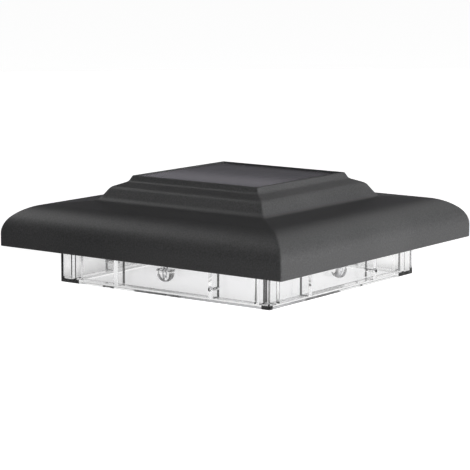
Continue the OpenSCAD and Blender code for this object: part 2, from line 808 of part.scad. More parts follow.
module driver_chip() {
    chip = [4, 5, 1.5];
    leg_pitch = 1.27;
    color("#1a1a1b") translate([chip_x, pcb_y, pcb_top]) {
        translate([-chip.x / 2, -chip.y / 2, 0.15]) cube(chip);
        for (side = [-1, 1], i = [-1.5:1:1.5]) translate([side * (chip.x / 2 + 0.45), i * leg_pitch, 0.3])
            cube([1, 0.42, 0.6], center = true);
    }
}

// A drum inductor: two flanges with a winding between them
module inductor() {
    flange_t = inductor_h * 0.18;
    color("#8a4b2a") translate([inductor_x, pcb_y, pcb_top]) rotate_extrude()
        polygon([[0, 0], [inductor_r, 0], [inductor_r, flange_t], [inductor_r * 0.86, flange_t],
            [inductor_r * 0.86, inductor_h - flange_t], [inductor_r, inductor_h - flange_t],
            [inductor_r, inductor_h], [0, inductor_h]]);
}

module capacitor() {
    color("#30333c") translate([capacitor_x, pcb_y, pcb_top]) rotate_extrude()
        polygon([[0, 0], [capacitor_r, 0], [capacitor_r, 0.8], [capacitor_r * 0.93, 1.1],
            [capacitor_r, 1.4], [capacitor_r, capacitor_h - 0.3], [capacitor_r - 0.3, capacitor_h],
            [0, capacitor_h]]);
}

module board_resistors() {
    body = [2, 1.2, 0.6];
    color("#1d1d1f") for (i = [0:3])
        translate([-resistor_x - i * resistor_pitch - body.x / 2, pcb_y + resistor_y - body.y / 2, pcb_top])
            cube(body);
}

// SWITCH

module switch_body() {
    color("#a9acb0") difference() {
        slab([slot_mid - switch_l / 2, knob_y - switch_w / 2],
            [slot_mid + switch_l / 2, knob_y + switch_w / 2],
            switch_z, pcb_z);
        slab([slot_mid - slot_l / 2, knob_y - slot_w / 2], [slot_mid + slot_l / 2, knob_y + slot_w / 2],
            switch_z - over, pcb_z - switch_wall);
        slab([slot_mid - (foot_l + switch_travel) / 2 - knob_gap, knob_y - foot_w / 2 - knob_gap],
            [slot_mid + (foot_l + switch_travel) / 2 + knob_gap, knob_y + foot_w / 2 + knob_gap],
            switch_z + switch_wall, foot_z + foot_h + knob_gap);
    }
}

module switch_slider() {
    knob_z = tray_z - knob_reach;
    color("#e2e3e4") {
        slab([-knob_l / 2, knob_y - knob_w / 2], [knob_l / 2, knob_y + knob_w / 2],
            knob_z + 0.3, foot_z + eps);
        slab([-knob_l / 2 + 0.3, knob_y - knob_w / 2 + 0.3], [knob_l / 2 - 0.3, knob_y + knob_w / 2 - 0.3],
            knob_z, knob_z + 0.3 + eps);
        slab([-foot_l / 2, knob_y - foot_w / 2], [foot_l / 2, knob_y + foot_w / 2], foot_z, foot_z + foot_h);
    }
}

// LAMPS

// A clear bulb that points down, with its flange's top at z = 0 and two flats that fit the channel
module led_bulb() {
    difference() {
        union() {
            flatted(led_r + led_lip, led_t / 2 + led_lip, -led_flange_h, 0)
                translate([0, 0, -led_flange_h]) cylinder(r = led_r + led_lip, h = led_flange_h);
            flatted(led_r, led_t / 2, -led_len, 0) {
                translate([0, 0, led_r - led_len]) cylinder(r = led_r, h = led_len - led_r);
                translate([0, 0, led_r - led_len]) sphere(r = led_r);
            }
        }
        led_frame(over);
    }
}

module flatted(half_w, half_t, z0, z1) {
    intersection() {
        union() children();
        slab([-half_w - over, -half_t], [half_w + over, half_t], z0 - over, z1 + eps);
    }
}

// The two leads where they run into the bulb: one ends in the cup that holds the chip
module led_frame(rise) {
    outer = lead_pitch / 2 + lead_t / 2;
    for (x = [-1, 1]) {
        slab([x * lead_pitch / 2 - lead_t / 2, -lead_t / 2], [x * lead_pitch / 2 + lead_t / 2, lead_t / 2],
            -frame_l * 0.62, rise);
        slab([x * (outer - lead_wide / 2) - lead_wide / 2, -lead_t / 2],
            [x * (outer - lead_wide / 2) + lead_wide / 2, lead_t / 2],
            -frame_l * 0.3, min(rise, lead_wide_l));
    }
    slab([-outer, -lead_t / 2], [-0.15, lead_t / 2], -frame_l * 0.72, -frame_l * 0.4);
    slab([0.35, -lead_t / 2], [outer, lead_t / 2], -frame_l * 0.66, -frame_l * 0.48);
    translate([-0.55, 0, -frame_l * 0.72 - cup_h * 0.5])
        cylinder(r1 = cup_r * 0.8, r2 = cup_r * 0.5, h = cup_h * 0.5 + eps);
}

module led_bulb_at(turn) {
    color("#f4f6f8", 0.35) rotate(turn) translate([0, -lamp_at, led_top]) led_bulb();
}

module led_leads_at(turn) {
    color("#9a9da1") rotate(turn) translate([0, -lamp_at, led_top])
        led_frame(tray_top + lamp_board_t + lead_stub - led_top);
}

// A small board over each lamp: its leads are soldered there and two pegs hold it
module lamp_board_at(turn) {
    color("#2f6b3f") rotate(turn) translate([0, -lamp_at, 0]) difference() {
        slab(-lamp_board / 2, lamp_board / 2, tray_top, tray_top + lamp_board_t);
        for (x = [-lead_pitch / 2, lead_pitch / 2]) translate([x, 0, tray_top - over])
            cylinder(r = lead_hole_r, h = lamp_board_t + 2 * over);
        for (x = [-lamp_peg_x, lamp_peg_x]) translate([x, 0, tray_top - over])
            cylinder(r = lamp_peg_r + screw_gap, h = lamp_board_t + 2 * over);
    }
}

module led_bulb_front() { led_bulb_at(0); }
module led_bulb_right() { led_bulb_at(90); }
module led_bulb_back() { led_bulb_at(180); }
module led_bulb_left() { led_bulb_at(270); }
module led_leads_front() { led_leads_at(0); }
module led_leads_right() { led_leads_at(90); }
module led_leads_back() { led_leads_at(180); }
module led_leads_left() { led_leads_at(270); }
module lamp_board_front() { lamp_board_at(0); }
module lamp_board_right() { lamp_board_at(90); }
module lamp_board_back() { lamp_board_at(180); }
module lamp_board_left() { lamp_board_at(270); }

// WIRES: each route is measured from the tray's top and runs to a pad on the circuit board

lamp_up = lamp_board_t + lead_stub;
board_up = pcb_top - tray_top;
panel_up = backing_z - tray_top;
tab_up = well_top + well_wall + tab_reach - tray_top;
tab_x = well_l / 2 - contact_t / 2;
// Straight runs over a lamp, a pad, a contact tab and under the panel
lamp_run = 4;
pad_run = 3;
tab_run = 2;
panel_run = 5;
wire_pitch = 3;
// A point over a pad: its place along and across the board as shares of the board's sides
function pad(along, across, rise) = [along * pcb_l, pcb_y + across * pcb_w, board_up + rise];
function joint(along, across) = [pad(along, across, pad_run), pad(along, across, 0)];
// A point on the way: its place as shares of the tray's half width and of the room over the tray
bay_h = ceiling_z - tray_top;
function way(x, y, rise) = [x * tray_half, y * tray_half, rise * bay_h];

front_route = concat(
    [[0, -lamp_at, lamp_up], [0, -lamp_at, lamp_up + lamp_run],
     way(0.05, -0.78, 0.233), way(0.26, -0.52, 0.2),
        way(0.51, -0.23, 0.15), way(0.52, 0.08, 0.167), way(0.44, 0.31, 0.333), way(0.35, 0.39, 0.433)],
    joint(0.43, -0.28));
right_route = concat(
    [[lamp_at, 0, lamp_up], [lamp_at, 0, lamp_up + lamp_run], way(0.81, 0.04, 0.267), way(0.65, 0.18, 0.267),
        way(0.52, 0.36, 0.367), way(0.39, 0.47, 0.467)],
    joint(0.41, 0.01));
back_route = concat(
    [[0, lamp_at, lamp_up], [0, lamp_at, lamp_up + lamp_run], way(0.01, 0.83, 0.3), way(0.04, 0.73, 0.433),
        way(0.08, 0.65, 0.433)],
    joint(0.12, 0.39));
left_route = concat(
    [[-lamp_at, 0, lamp_up], [-lamp_at, 0, lamp_up + lamp_run],
     way(-0.81, 0.04, 0.267), way(-0.65, 0.18, 0.267),
        way(-0.52, 0.36, 0.367), way(-0.4, 0.47, 0.467)],
    joint(-0.43, 0.01));
battery_red_route = concat(
    [[tab_x, -cell_at_y, tab_up], [tab_x, -cell_at_y, tab_up + tab_run], way(0.4, -0.01, 0.733),
        way(0.4, 0.18, 0.7), way(0.29, 0.35, 0.533)],
    joint(0.33, -0.28));
battery_black_route = concat(
    [[tab_x, cell_at_y, tab_up], [tab_x, cell_at_y, tab_up + tab_run], way(0.34, 0.17, 0.733),
        way(0.22, 0.33, 0.567)],
    joint(0.26, -0.28));
function panel_route(x, y, along) = [[x, y, panel_up], [x, y, panel_up - panel_run],
    [x - pad_run, y, (panel_up + board_up) / 2], [along * pcb_l + panel_run, y, board_up + 3 * pad_run],
    [along * pcb_l, y, board_up + pad_run], [along * pcb_l, y, board_up]];

module wire_pair(route, step, side) {
    translate([0, 0, tray_top]) for (s = [-1, 1])
        wire([for (p = route) p + s * step], side);
}

module led_wires_front() { color("#b8342c") wire_pair(front_route, [lead_pitch / 2, 0, 0], [1, 0, 0]); }
module led_wires_right() { color("#b8342c") wire_pair(right_route, [0, lead_pitch / 2, 0], [0, 1, 0]); }
module led_wires_back() { color("#b8342c") wire_pair(back_route, [lead_pitch / 2, 0, 0], [1, 0, 0]); }
module led_wires_left() { color("#b8342c") wire_pair(left_route, [0, lead_pitch / 2, 0], [0, 1, 0]); }

module panel_wire_red() {
    color("#b8342c") translate([0, 0, tray_top])
        wire(panel_route(-1, wire_hole_y - wire_pitch / 2, -0.34), [0, 1, 0]);
}
module panel_wire_black() {
    color("#1c1c1d") translate([0, 0, tray_top])
        wire(panel_route(1, wire_hole_y + wire_pitch / 2, -0.28), [0, 1, 0]);
}
module battery_wire_red() { color("#b8342c") translate([0, 0, tray_top]) wire(battery_red_route, [1, 0, 0]); }
module battery_wire_black() {
    color("#1c1c1d") translate([0, 0, tray_top]) wire(battery_black_route, [1, 0, 0]);
}

cap_shell();
panel_tape();
panel_backing();
solar_cells();
cell_ribbons();
panel_cover();
panel_wire_red();
panel_wire_black();
lens();
tray();
tray_screws();
lens_screws();
circuit_board();
board_screws();
driver_chip();
inductor();
capacitor();
board_resistors();
battery_cell_a();
battery_cell_b();
contact_bridge();
contact_positive();
contact_negative();
contact_spring_a();
contact_spring_b();
battery_wire_red();
battery_wire_black();
battery_door();
door_seal();
hinge_pin();
switch_body();
switch_slider();
led_bulb_front();
led_bulb_right();
led_bulb_back();
led_bulb_left();
led_leads_front();
led_leads_right();
led_leads_back();
led_leads_left();
lamp_board_front();
lamp_board_right();
lamp_board_back();
lamp_board_left();
led_wires_front();
led_wires_right();
led_wires_back();
led_wires_left();
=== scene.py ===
"""Dressed scene of a solar fence post light: cast cap, solar panel, clear lens, lamps, tray and works."""

from __future__ import annotations

import logging
import math
from dataclasses import dataclass
from enum import Enum
from typing import Sequence

import bmesh
import bpy
from bmesh.types import BMEdge, BMesh, BMVert
from bpy.types import Light, Material, Mesh, Node, NodeSocket as Socket, NodeTree as Tree, Object
from mathutils import Matrix, Vector

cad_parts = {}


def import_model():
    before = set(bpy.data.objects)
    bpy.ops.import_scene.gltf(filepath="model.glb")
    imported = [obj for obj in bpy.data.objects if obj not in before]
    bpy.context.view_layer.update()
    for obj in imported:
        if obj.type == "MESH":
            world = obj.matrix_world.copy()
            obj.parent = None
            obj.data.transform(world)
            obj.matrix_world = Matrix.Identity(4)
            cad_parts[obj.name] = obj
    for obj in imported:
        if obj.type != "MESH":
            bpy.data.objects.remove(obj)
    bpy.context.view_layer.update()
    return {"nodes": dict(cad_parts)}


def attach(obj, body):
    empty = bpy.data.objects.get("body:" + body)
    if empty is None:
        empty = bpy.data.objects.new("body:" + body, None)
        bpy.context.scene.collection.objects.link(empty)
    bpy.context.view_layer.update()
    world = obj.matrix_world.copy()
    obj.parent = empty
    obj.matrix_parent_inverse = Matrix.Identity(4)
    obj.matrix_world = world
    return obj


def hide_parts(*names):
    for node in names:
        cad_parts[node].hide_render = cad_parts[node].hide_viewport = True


log = logging.getLogger("post_light")

MM = 0.001
NEAR = 1e-7  # two points of a new mesh that are closer than this, in metres, are one
CAD_NEAR = 1e-6  # the same for a CAD node's mesh
FLAT_DEG = 0.6  # its faces that turn less than this are joined

Colour = tuple[float, float, float]
Outline = Sequence[tuple[float, float]]  # radius and height in millimetres
Row = tuple[float, float, float]  # half width, height and corner radius of a square loop, in millimetres
Route = Sequence[tuple[float, float, float]]  # points in millimetres
Inputs = dict[str | int, object]  # socket, number or colour for an input, by its name or place
Sockets = bpy.types.bpy_prop_collection


class Body(Enum):
    """Rigid bodies that a piece can ride on."""

    HOUSING = "housing"
    DOOR = "door"
    SLIDER = "slider"


class Side(Enum):
    """The four sides of the light, with the turn that brings the front one there."""

    FRONT = 0
    RIGHT = 90
    BACK = 180
    LEFT = 270

    @property
    def label(self) -> str:
        """Name of the side as the nodes spell it."""
        return self.name.lower()

    def turn(self) -> Matrix:
        """Rotation from the front side to this one."""
        return Matrix.Rotation(math.radians(self.value), 4, "Z")


# ---- shader nodes


def feed(tree: Tree, node: Node, inputs: Inputs) -> None:
    """Links or sets a node's inputs.

    Args:
        tree: Node tree that holds the node.
        node: The node.
        inputs: A socket, a number or a colour for each input.
    """
    for name, value in inputs.items():
        if isinstance(value, Socket):
            tree.links.new(value, node.inputs[name])
        else:
            node.inputs[name].default_value = value


def add(tree: Tree, kind: str, inputs: Inputs, **settings: object) -> Node:
    """Adds a shader node.

    Args:
        tree: Node tree that gets it.
        kind: Its type, without ShaderNode before it.
        inputs: A socket, a number or a colour for each input.
        **settings: What the node itself is set to.

    Returns:
        The node.
    """
    node = tree.nodes.new("ShaderNode" + kind)
    for name, value in settings.items():
        setattr(node, name, value)
    feed(tree, node, inputs)
    return node


def math_node(tree: Tree, operation: str, *terms: float | Socket) -> Socket:
    """Adds a Math node with its inputs in order and returns its output."""
    return add(tree, "Math", dict(enumerate(terms)), operation=operation).outputs[0]


def span_node(tree: Tree, value: Socket, span: Sequence[float], result: Sequence[float],
              kind: str = "LINEAR") -> Socket:
    """Adds a Map Range node that turns the ends of a span into two results, and returns its output."""
    ends = {"From Min": span[0], "From Max": span[1], "To Min": result[0], "To Max": result[1]}
    return add(tree, "MapRange", {"Value": value, **ends}, interpolation_type=kind).outputs["Result"]


def axes(tree: Tree, kind: str) -> Sockets:
    """Outputs X, Y and Z of one kind of texture coordinate."""
    place = add(tree, "TexCoord", {}).outputs[kind]
    return add(tree, "SeparateXYZ", {"Vector": place}).outputs


def shader_mix(tree: Tree, factor: Socket, first: Socket, second: Socket) -> Socket:
    """Adds a Mix Shader node and returns its output."""
    return add(tree, "MixShader", {0: factor, 1: first, 2: second}).outputs["Shader"]


class ShaderGroup:
    """A shader group that is built once, with floats as inputs and outputs."""

    NAME = ""
    INPUTS: Sequence[str] = ()
    OUTPUTS: Sequence[str] = ()

    @classmethod
    def get(cls) -> Tree:
        """Builds the group once and returns its node tree."""
        if cls.NAME in bpy.data.node_groups:
            return bpy.data.node_groups[cls.NAME]
        tree = bpy.data.node_groups.new(cls.NAME, "ShaderNodeTree")
        for sockets, way in ((cls.INPUTS, "INPUT"), (cls.OUTPUTS, "OUTPUT")):
            for socket in sockets:
                tree.interface.new_socket(socket, in_out=way, socket_type="NodeSocketFloat")
        given = tree.nodes.new("NodeGroupInput").outputs
        feed(tree, tree.nodes.new("NodeGroupOutput"), cls.results(tree, given))
        return tree

    @classmethod
    def results(cls, tree: Tree, given: Sockets) -> Inputs:
        """Adds what the group works out and returns a socket for each output."""
        raise NotImplementedError


class GrainGroup(ShaderGroup):
    """Fine surface grain: small bumps for a Bump node and a tone that follows them."""

    NAME = "surface grain"
    INPUTS = ("Size", "Spread")
    OUTPUTS = ("Height", "Tone")
    CELL_SHARE = 0.5
    FINE_SHARE = 0.8
    SLOW_SHARE = 0.3

    @classmethod
    def results(cls, tree: Tree, given: Sockets) -> Inputs:
        """Adds noise and cells of one size, and a slow drift of the tone.

        Args:
            tree: Node tree of the group.
            given: The group's inputs.

        Returns:
            A socket for each output.
        """
        place = add(tree, "TexCoord", {}).outputs["Object"]
        close = {"Vector": place, "Scale": given["Size"]}
        wide = {"Vector": place, "Scale": given["Spread"], "Detail": 2.0}
        fine = add(tree, "TexNoise", {**close, "Detail": 3.0, "Roughness": 0.6}).outputs["Fac"]
        cells = add(tree, "TexVoronoi", close, feature="SMOOTH_F1").outputs["Distance"]
        drift = math_node(tree, "MULTIPLY", add(tree, "TexNoise", wide).outputs["Fac"], cls.SLOW_SHARE)
        return {"Height": math_node(tree, "MULTIPLY_ADD", cells, cls.CELL_SHARE, fine),
                "Tone": math_node(tree, "MULTIPLY_ADD", fine, cls.FINE_SHARE, drift)}


class BandGroup(ShaderGroup):
    """Fine parallel lines along one axis, such as fingers on a cell or turns of a winding."""

    NAME = "fine lines"
    INPUTS = ("Position", "Pitch", "Share")
    OUTPUTS = ("Mask",)

    @classmethod
    def results(cls, tree: Tree, given: Sockets) -> Inputs:
        """Adds a mask that is 1 on a line, which takes up a share of each pitch."""
        part = math_node(tree, "FRACT", math_node(tree, "DIVIDE", given["Position"], given["Pitch"]))
        return {"Mask": math_node(tree, "LESS_THAN", part, given["Share"])}


# ---- finishes


@dataclass(frozen=True)
class Finish:
    """An opaque finish: two near tones mixed by grain, with a grained bump.

    Colours are linear. Size and spread are grains to the metre; depth is in metres.
    """

    name: str
    slot: str
    pale: Colour
    deep: Colour
    roughness: float
    rough_play: float = 0.06
    metallic: float = 0.0
    specular: float = 0.5
    size: float = 900.0
    spread: float = 40.0
    depth: float = 0.00002
    bump: float = 0.3

    def material(self) -> Material:
        """Builds the material once and returns it."""
        if self.name in bpy.data.materials:
            return bpy.data.materials[self.name]
        made = bpy.data.materials.new(self.name)
        made.use_nodes = True
        shader = made.node_tree.nodes["Principled BSDF"]
        shader.inputs["Metallic"].default_value = self.metallic
        shader.inputs["Specular IOR Level"].default_value = self.specular
        self.dress(made.node_tree, shader)
        return made

    def rough_span(self) -> tuple[float, float]:
        """Roughness at the deep and at the pale tone."""
        return self.roughness - self.rough_play, self.roughness + self.rough_play

    def dress(self, tree: Tree, shader: Node) -> None:
        """Feeds colour, roughness and normal from the grain.

        Args:
            tree: Node tree of the material.
            shader: Its Principled node.
        """
        grain = add(tree, "Group", {"Size": self.size, "Spread": self.spread}, node_tree=GrainGroup.get())
        tone, height = grain.outputs["Tone"], grain.outputs["Height"]
        relief = add(tree, "Bump", {"Strength": self.bump, "Distance": self.depth, "Height": height,
                                    **self.form(tree)})
        feed(tree, shader, {"Base Color": self.colour(tree, tone), "Normal": relief.outputs["Normal"],
                            "Roughness": span_node(tree, tone, (0.0, 1.0), self.rough_span())})

    def colour(self, tree: Tree, tone: Socket) -> Socket:
        """Mixes the two tones by the tone of the grain."""
        inputs = {"Factor": tone, "A": (*self.deep, 1.0), "B": (*self.pale, 1.0)}
        return add(tree, "Mix", inputs, data_type="RGBA").outputs["Result"]

    def form(self, tree: Tree) -> Inputs:
        """Larger form under the grain: none."""
        return {}


@dataclass(frozen=True)
class ClearFinish(Finish):
    """A clear moulding: it transmits and casts no shadow, with a faint ripple and crown of its surface.

    Crown is how much the surface normal turns to the metre along Y.
    """

    ior: float = 1.49
    crown: float = 0.0

    def rough_span(self) -> tuple[float, float]:
        """Roughness at the deep and at the pale tone."""
        return self.roughness, self.roughness + self.rough_play

    def dress(self, tree: Tree, shader: Node) -> None:
        """Feeds the grain, then makes the surface clear and lets shadow rays through.

        Args:
            tree: Node tree of the material.
            shader: Its Principled node.
        """
        super().dress(tree, shader)
        shader.inputs["Transmission Weight"].default_value = 1.0
        shader.inputs["IOR"].default_value = self.ior
        shadow = add(tree, "LightPath", {}).outputs["Is Shadow Ray"]
        clear = add(tree, "BsdfTransparent", {}).outputs["BSDF"]
        whole = shader_mix(tree, shadow, shader.outputs["BSDF"], clear)
        feed(tree, tree.nodes["Material Output"], {"Surface": whole})

    def form(self, tree: Tree) -> Inputs:
        """Normal of a surface that is a little higher along its middle line.

        Args:
            tree: Node tree of the material.

        Returns:
            The normal for the grain's Bump node, if the finish has a crown.
        """
        if not self.crown:
            return {}
        across = axes(tree, "Object")["Y"]
        square = math_node(tree, "MULTIPLY", across, across)
        rise = math_node(tree, "MULTIPLY", square, -self.crown / 2)
        return {"Normal": add(tree, "Bump", {"Distance": 1.0, "Height": rise}).outputs["Normal"]}


@dataclass(frozen=True)
class LinedFinish(Finish):
    """A finish crossed by fine lines of another colour along one object axis."""

    axis: str = "X"
    pitch: float = 0.002
    share: float = 0.08
    line: Colour = (0.2, 0.2, 0.22)

    def colour(self, tree: Tree, tone: Socket) -> Socket:
        """Lays the lines over the two tones.

        Args:
            tree: Node tree of the material.
            tone: Tone of the grain.

        Returns:
            The colour.
        """
        place = axes(tree, "Object")[self.axis]
        lines = add(tree, "Group", {"Position": place, "Pitch": self.pitch, "Share": self.share},
                    node_tree=BandGroup.get()).outputs["Mask"]
        inputs = {"Factor": lines, "A": super().colour(tree, tone), "B": (*self.line, 1.0)}
        return add(tree, "Mix", inputs, data_type="RGBA").outputs["Result"]


class Finishes:
    """Every finish of the light, by what it is on."""

    coat = Finish("dark grey powder coat", "cap_paint", (0.116, 0.116, 0.117), (0.008, 0.008, 0.009),
                  0.45, 0.05, 0.0, 0.15, 1100.0, 18.0, 0.00004, 0.35)
    cover = ClearFinish("clear epoxy cover", "panel_glass", (0.93, 0.92, 0.97), (0.90, 0.89, 0.95),
                        0.12, 0.05, 0.0, 0.3, 500.0, 30.0, 0.00001, 0.1, ior=1.3, crown=1.3)
    cell = LinedFinish("solar cell", "silicon", (0.040, 0.039, 0.052), (0.028, 0.027, 0.040),
                       0.35, 0.05, 0.0, 0.5, 200.0, 60.0, 0.00001, 0.1, axis="Y", pitch=0.0018,
                       share=0.06, line=(0.10, 0.10, 0.12))
    backing = Finish("black panel board", "backing", (0.020, 0.020, 0.024), (0.014, 0.014, 0.017), 0.5)
    tinned = Finish("tinned metal", "tinned", (0.62, 0.62, 0.64), (0.42, 0.42, 0.44), 0.32, 0.08, 1.0)
    ribbon = Finish("dull tinned ribbon", "ribbon", (0.07, 0.07, 0.08), (0.05, 0.05, 0.06), 0.4, 0.08, 0.6)
    tape = Finish("foam tape", "tape", (0.02, 0.02, 0.02), (0.012, 0.012, 0.012), 0.85)
    lens = ClearFinish("clear moulded plastic", "clear_plastic", (0.99, 0.99, 0.99), (0.98, 0.98, 0.98),
                       0.0, 0.02, 0.0, 0.5, 60.0, 20.0, 0.00003, 0.05, ior=1.49)
    bulb = ClearFinish("clear epoxy bulb", "led_epoxy", (0.99, 0.99, 0.99), (0.98, 0.98, 0.98),
                       0.0, 0.01, 0.0, 0.5, 200.0, 60.0, 0.00001, 0.02, ior=1.5)
    moulding = Finish("grey moulding", "grey_plastic", (0.36, 0.36, 0.37), (0.30, 0.30, 0.31),
                      0.5, 0.08, 0.0, 0.4, 2600.0, 60.0, 0.00003, 0.35)
    plated = Finish("zinc-plated steel", "screw_steel", (0.60, 0.60, 0.62), (0.44, 0.45, 0.48),
                    0.3, 0.1, 1.0, 0.5, 1500.0, 200.0)
    mask = LinedFinish("green board", "board_green", (0.03, 0.17, 0.07), (0.02, 0.12, 0.05),
                       0.38, 0.06, 0.0, 0.5, 1800.0, 160.0, axis="X", pitch=0.0033, share=0.14,
                       line=(0.05, 0.24, 0.11))
    package = Finish("black epoxy package", "chip_black", (0.03, 0.03, 0.032), (0.018, 0.018, 0.02), 0.55)
    winding = LinedFinish("copper winding", "copper", (0.60, 0.27, 0.13), (0.42, 0.17, 0.08), 0.35, 0.08,
                          1.0, 0.5, 1200.0, 120.0, axis="Z", pitch=0.0004, share=0.3,
                          line=(0.22, 0.08, 0.04))
    can = Finish("dark shrink sleeve", "can_sleeve", (0.05, 0.055, 0.085), (0.035, 0.038, 0.06), 0.3)
    sleeve = Finish("green shrink sleeve", "cell_sleeve", (0.12, 0.36, 0.17), (0.08, 0.27, 0.12), 0.3)
    nickel = Finish("nickel-plated steel", "nickel", (0.70, 0.69, 0.66), (0.52, 0.51, 0.48), 0.25, 0.08, 1.0)
    red = Finish("red insulation", "wire_red", (0.52, 0.045, 0.035), (0.40, 0.03, 0.025), 0.42)
    black = Finish("black insulation", "wire_black", (0.025, 0.025, 0.026), (0.016, 0.016, 0.017), 0.42)
    rubber = Finish("grey seal rubber", "seal_rubber", (0.07, 0.07, 0.075), (0.05, 0.05, 0.055), 0.8)
    shell = Finish("pressed metal", "switch_metal", (0.56, 0.57, 0.58), (0.42, 0.43, 0.45), 0.34, 0.08, 1.0)
    knob = Finish("white knob", "knob_white", (0.74, 0.74, 0.71), (0.64, 0.64, 0.62), 0.45)


# ---- meshes


def hang(name: str, data: Mesh | Light | bpy.types.Camera) -> Object:
    """Makes an object at the origin and links it to the scene.

    Args:
        name: Name of the object.
        data: What it holds.

    Returns:
        The object.
    """
    made = bpy.data.objects.new(name, data)
    bpy.context.scene.collection.objects.link(made)
    return made


def mesh_of(name: str, form: BMesh) -> Mesh:
    """Makes a mesh from a bmesh.

    Args:
        name: Name of the mesh.
        form: The bmesh, which is freed.

    Returns:
        The mesh.
    """
    mesh = bpy.data.meshes.new(name)
    form.to_mesh(mesh)
    form.free()
    return mesh


def join(form: BMesh, part: BMesh) -> None:
    """Adds one bmesh to another.

    Args:
        form: The bmesh that grows.
        part: The one that is added, which is freed.
    """
    spare = mesh_of("part", part)
    form.from_mesh(spare)
    bpy.data.meshes.remove(spare)


def move(form: BMesh, *travel: float) -> None:
    """Moves a bmesh along X, Y and Z, in millimetres."""
    bmesh.ops.translate(form, verts=form.verts[:], vec=Vector(travel) * MM)


def put(name: str, form: BMesh, finish: Finish, stands_for: str, body: Body = Body.HOUSING,
        smooth_deg: float = 50.0, level: bool = False) -> Object:
    """Makes a finished piece from a bmesh, on its body.

    Args:
        name: Name of the piece.
        form: The bmesh, which is freed.
        finish: Finish of the whole piece.
        stands_for: CAD node that it replaces.
        body: Body that it rides on.
        smooth_deg: Angle over which an edge stays sharp.
        level: Whether large faces are shaded flat, with the turn left to the narrow ones.

    Returns:
        The piece.
    """
    mesh = mesh_of(name, form)
    piece = hang(name, mesh)
    mesh.shade_smooth()
    mesh.set_sharp_from_angle(angle=math.radians(smooth_deg))
    mesh.materials.append(finish.material())
    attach(piece, body.value)
    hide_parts(stands_for)
    if level:
        shade = piece.modifiers.new("level", "WEIGHTED_NORMAL")
        shade.mode = "FACE_AREA"
        shade.weight = 100
        shade.keep_sharp = True
    log.info("%s: %d faces", name, len(mesh.polygons))
    return piece


def soften(form: BMesh, width: float, least_deg: float = 40.0, shortest: float = 0.0012) -> None:
    """Rounds a form's sharp edges.

    Args:
        form: The bmesh to change.
        width: Width of the rounding, in metres.
        least_deg: Edges that turn less than this stay.
        shortest: Edges shorter than this, in metres, stay, such as those round a small hole.
    """
    least = math.radians(least_deg)
    sharp = [e for e in form.edges if e.is_manifold and e.calc_face_angle(0.0) > least
             and e.calc_length() > shortest]
    bmesh.ops.bevel(form, geom=sharp, offset=width, offset_type="OFFSET", segments=2, profile=0.5,
                    affect="EDGES", clamp_overlap=True, material=-1)
    bmesh.ops.recalc_face_normals(form, faces=form.faces[:])


def turned(outline: Outline, steps: int = 48) -> BMesh:
    """Spins an outline round the Z axis.

    Args:
        outline: The outline, from one end of the axis to the other.
        steps: Steps round the axis.

    Returns:
        A closed bmesh.
    """
    form = bmesh.new()
    points = [form.verts.new((r * MM, 0.0, z * MM)) for r, z in outline]
    edges = [form.edges.new(pair) for pair in zip(points, points[1:])]
    bmesh.ops.spin(form, geom=points + edges, cent=(0, 0, 0), axis=(0, 0, 1), angle=math.tau, steps=steps,
                   use_merge=True)
    bmesh.ops.remove_doubles(form, verts=form.verts[:], dist=NEAR)
    bmesh.ops.recalc_face_normals(form, faces=form.faces[:])
    return form


def eased(route: Sequence[Vector]) -> list[Vector]:
    """Cuts a route's corners once, and keeps its two ends.

    Args:
        route: Points along the route.

    Returns:
        The eased route.
    """
    last = len(route) - 2
    points = [route[0]]
    for i, (a, b) in enumerate(zip(route, route[1:])):
        if i > 0:
            points.append(a.lerp(b, 0.25))
        if i < last:
            points.append(a.lerp(b, 0.75))
    return [*points, route[-1]]


def tube(name: str, route: Sequence[Vector], radius: float, finish: Finish, node: str) -> None:
    """Makes a round tube along a route.

    Args:
        name: Name of the piece.
        route: Points along the route, in metres.
        radius: Radius of the tube in millimetres.
        finish: Its finish.
        node: CAD node that it replaces.
    """
    curve = bpy.data.curves.new(name, "CURVE")
    curve.dimensions = "3D"
    curve.bevel_depth = radius * MM
    curve.bevel_resolution = 3
    curve.use_fill_caps = True
    spline = curve.splines.new("POLY")
    spline.points.add(len(route) - 1)
    for point, place in zip(spline.points, route):
        point.co = (*place, 1.0)
    holder = bpy.data.objects.new(name + "_route", curve)
    mesh = bpy.data.meshes.new_from_object(holder)
    form = bmesh.new()
    form.from_mesh(mesh)
    bmesh.ops.recalc_face_normals(form, faces=form.faces[:])
    bpy.data.objects.remove(holder)
    bpy.data.curves.remove(curve)
    bpy.data.meshes.remove(mesh)
    put(name, form, finish, node)


# ---- the cap


@dataclass
class Run:
    """One stretch of the cap's moulding, measured from the level: a curve or a straight."""

    start: float
    stop: float
    radius: float = 0.0
    bulge: int = 1
    length: float = 0.0

    def step(self) -> tuple[float, float]:
        """Travel inwards and upwards over the whole run."""
        a, b = math.radians(self.start), math.radians(self.stop)
        if self.radius:
            return self.radius * abs(math.sin(a) - math.sin(b)), self.radius * abs(math.cos(a) - math.cos(b))
        return self.length * math.cos(a), self.length * math.sin(a)

    def points(self, at: tuple[float, float]) -> list[tuple[float, float, float]]:
        """Points along the run after its start: one to about three degrees, or near a straight's ends.

        Args:
            at: Half width and height where the run starts.

        Returns:
            Half width, height and slope in degrees of each point.
        """
        if not self.radius:
            inwards, upwards = self.step()
            shares = (0.06, 0.94, 1.0)
            return [(at[0] - inwards * share, at[1] + upwards * share, self.start) for share in shares]
        count = max(3, round(abs(self.start - self.stop) / 3.0))
        found = []
        a = math.radians(self.start)
        for i in range(1, count + 1):
            slope = self.start + (self.stop - self.start) * i / count
            b = math.radians(slope)
            found.append((at[0] - self.bulge * self.radius * (math.sin(a) - math.sin(b)),
                          at[1] - self.bulge * self.radius * (math.cos(a) - math.cos(b)), slope))
        return found


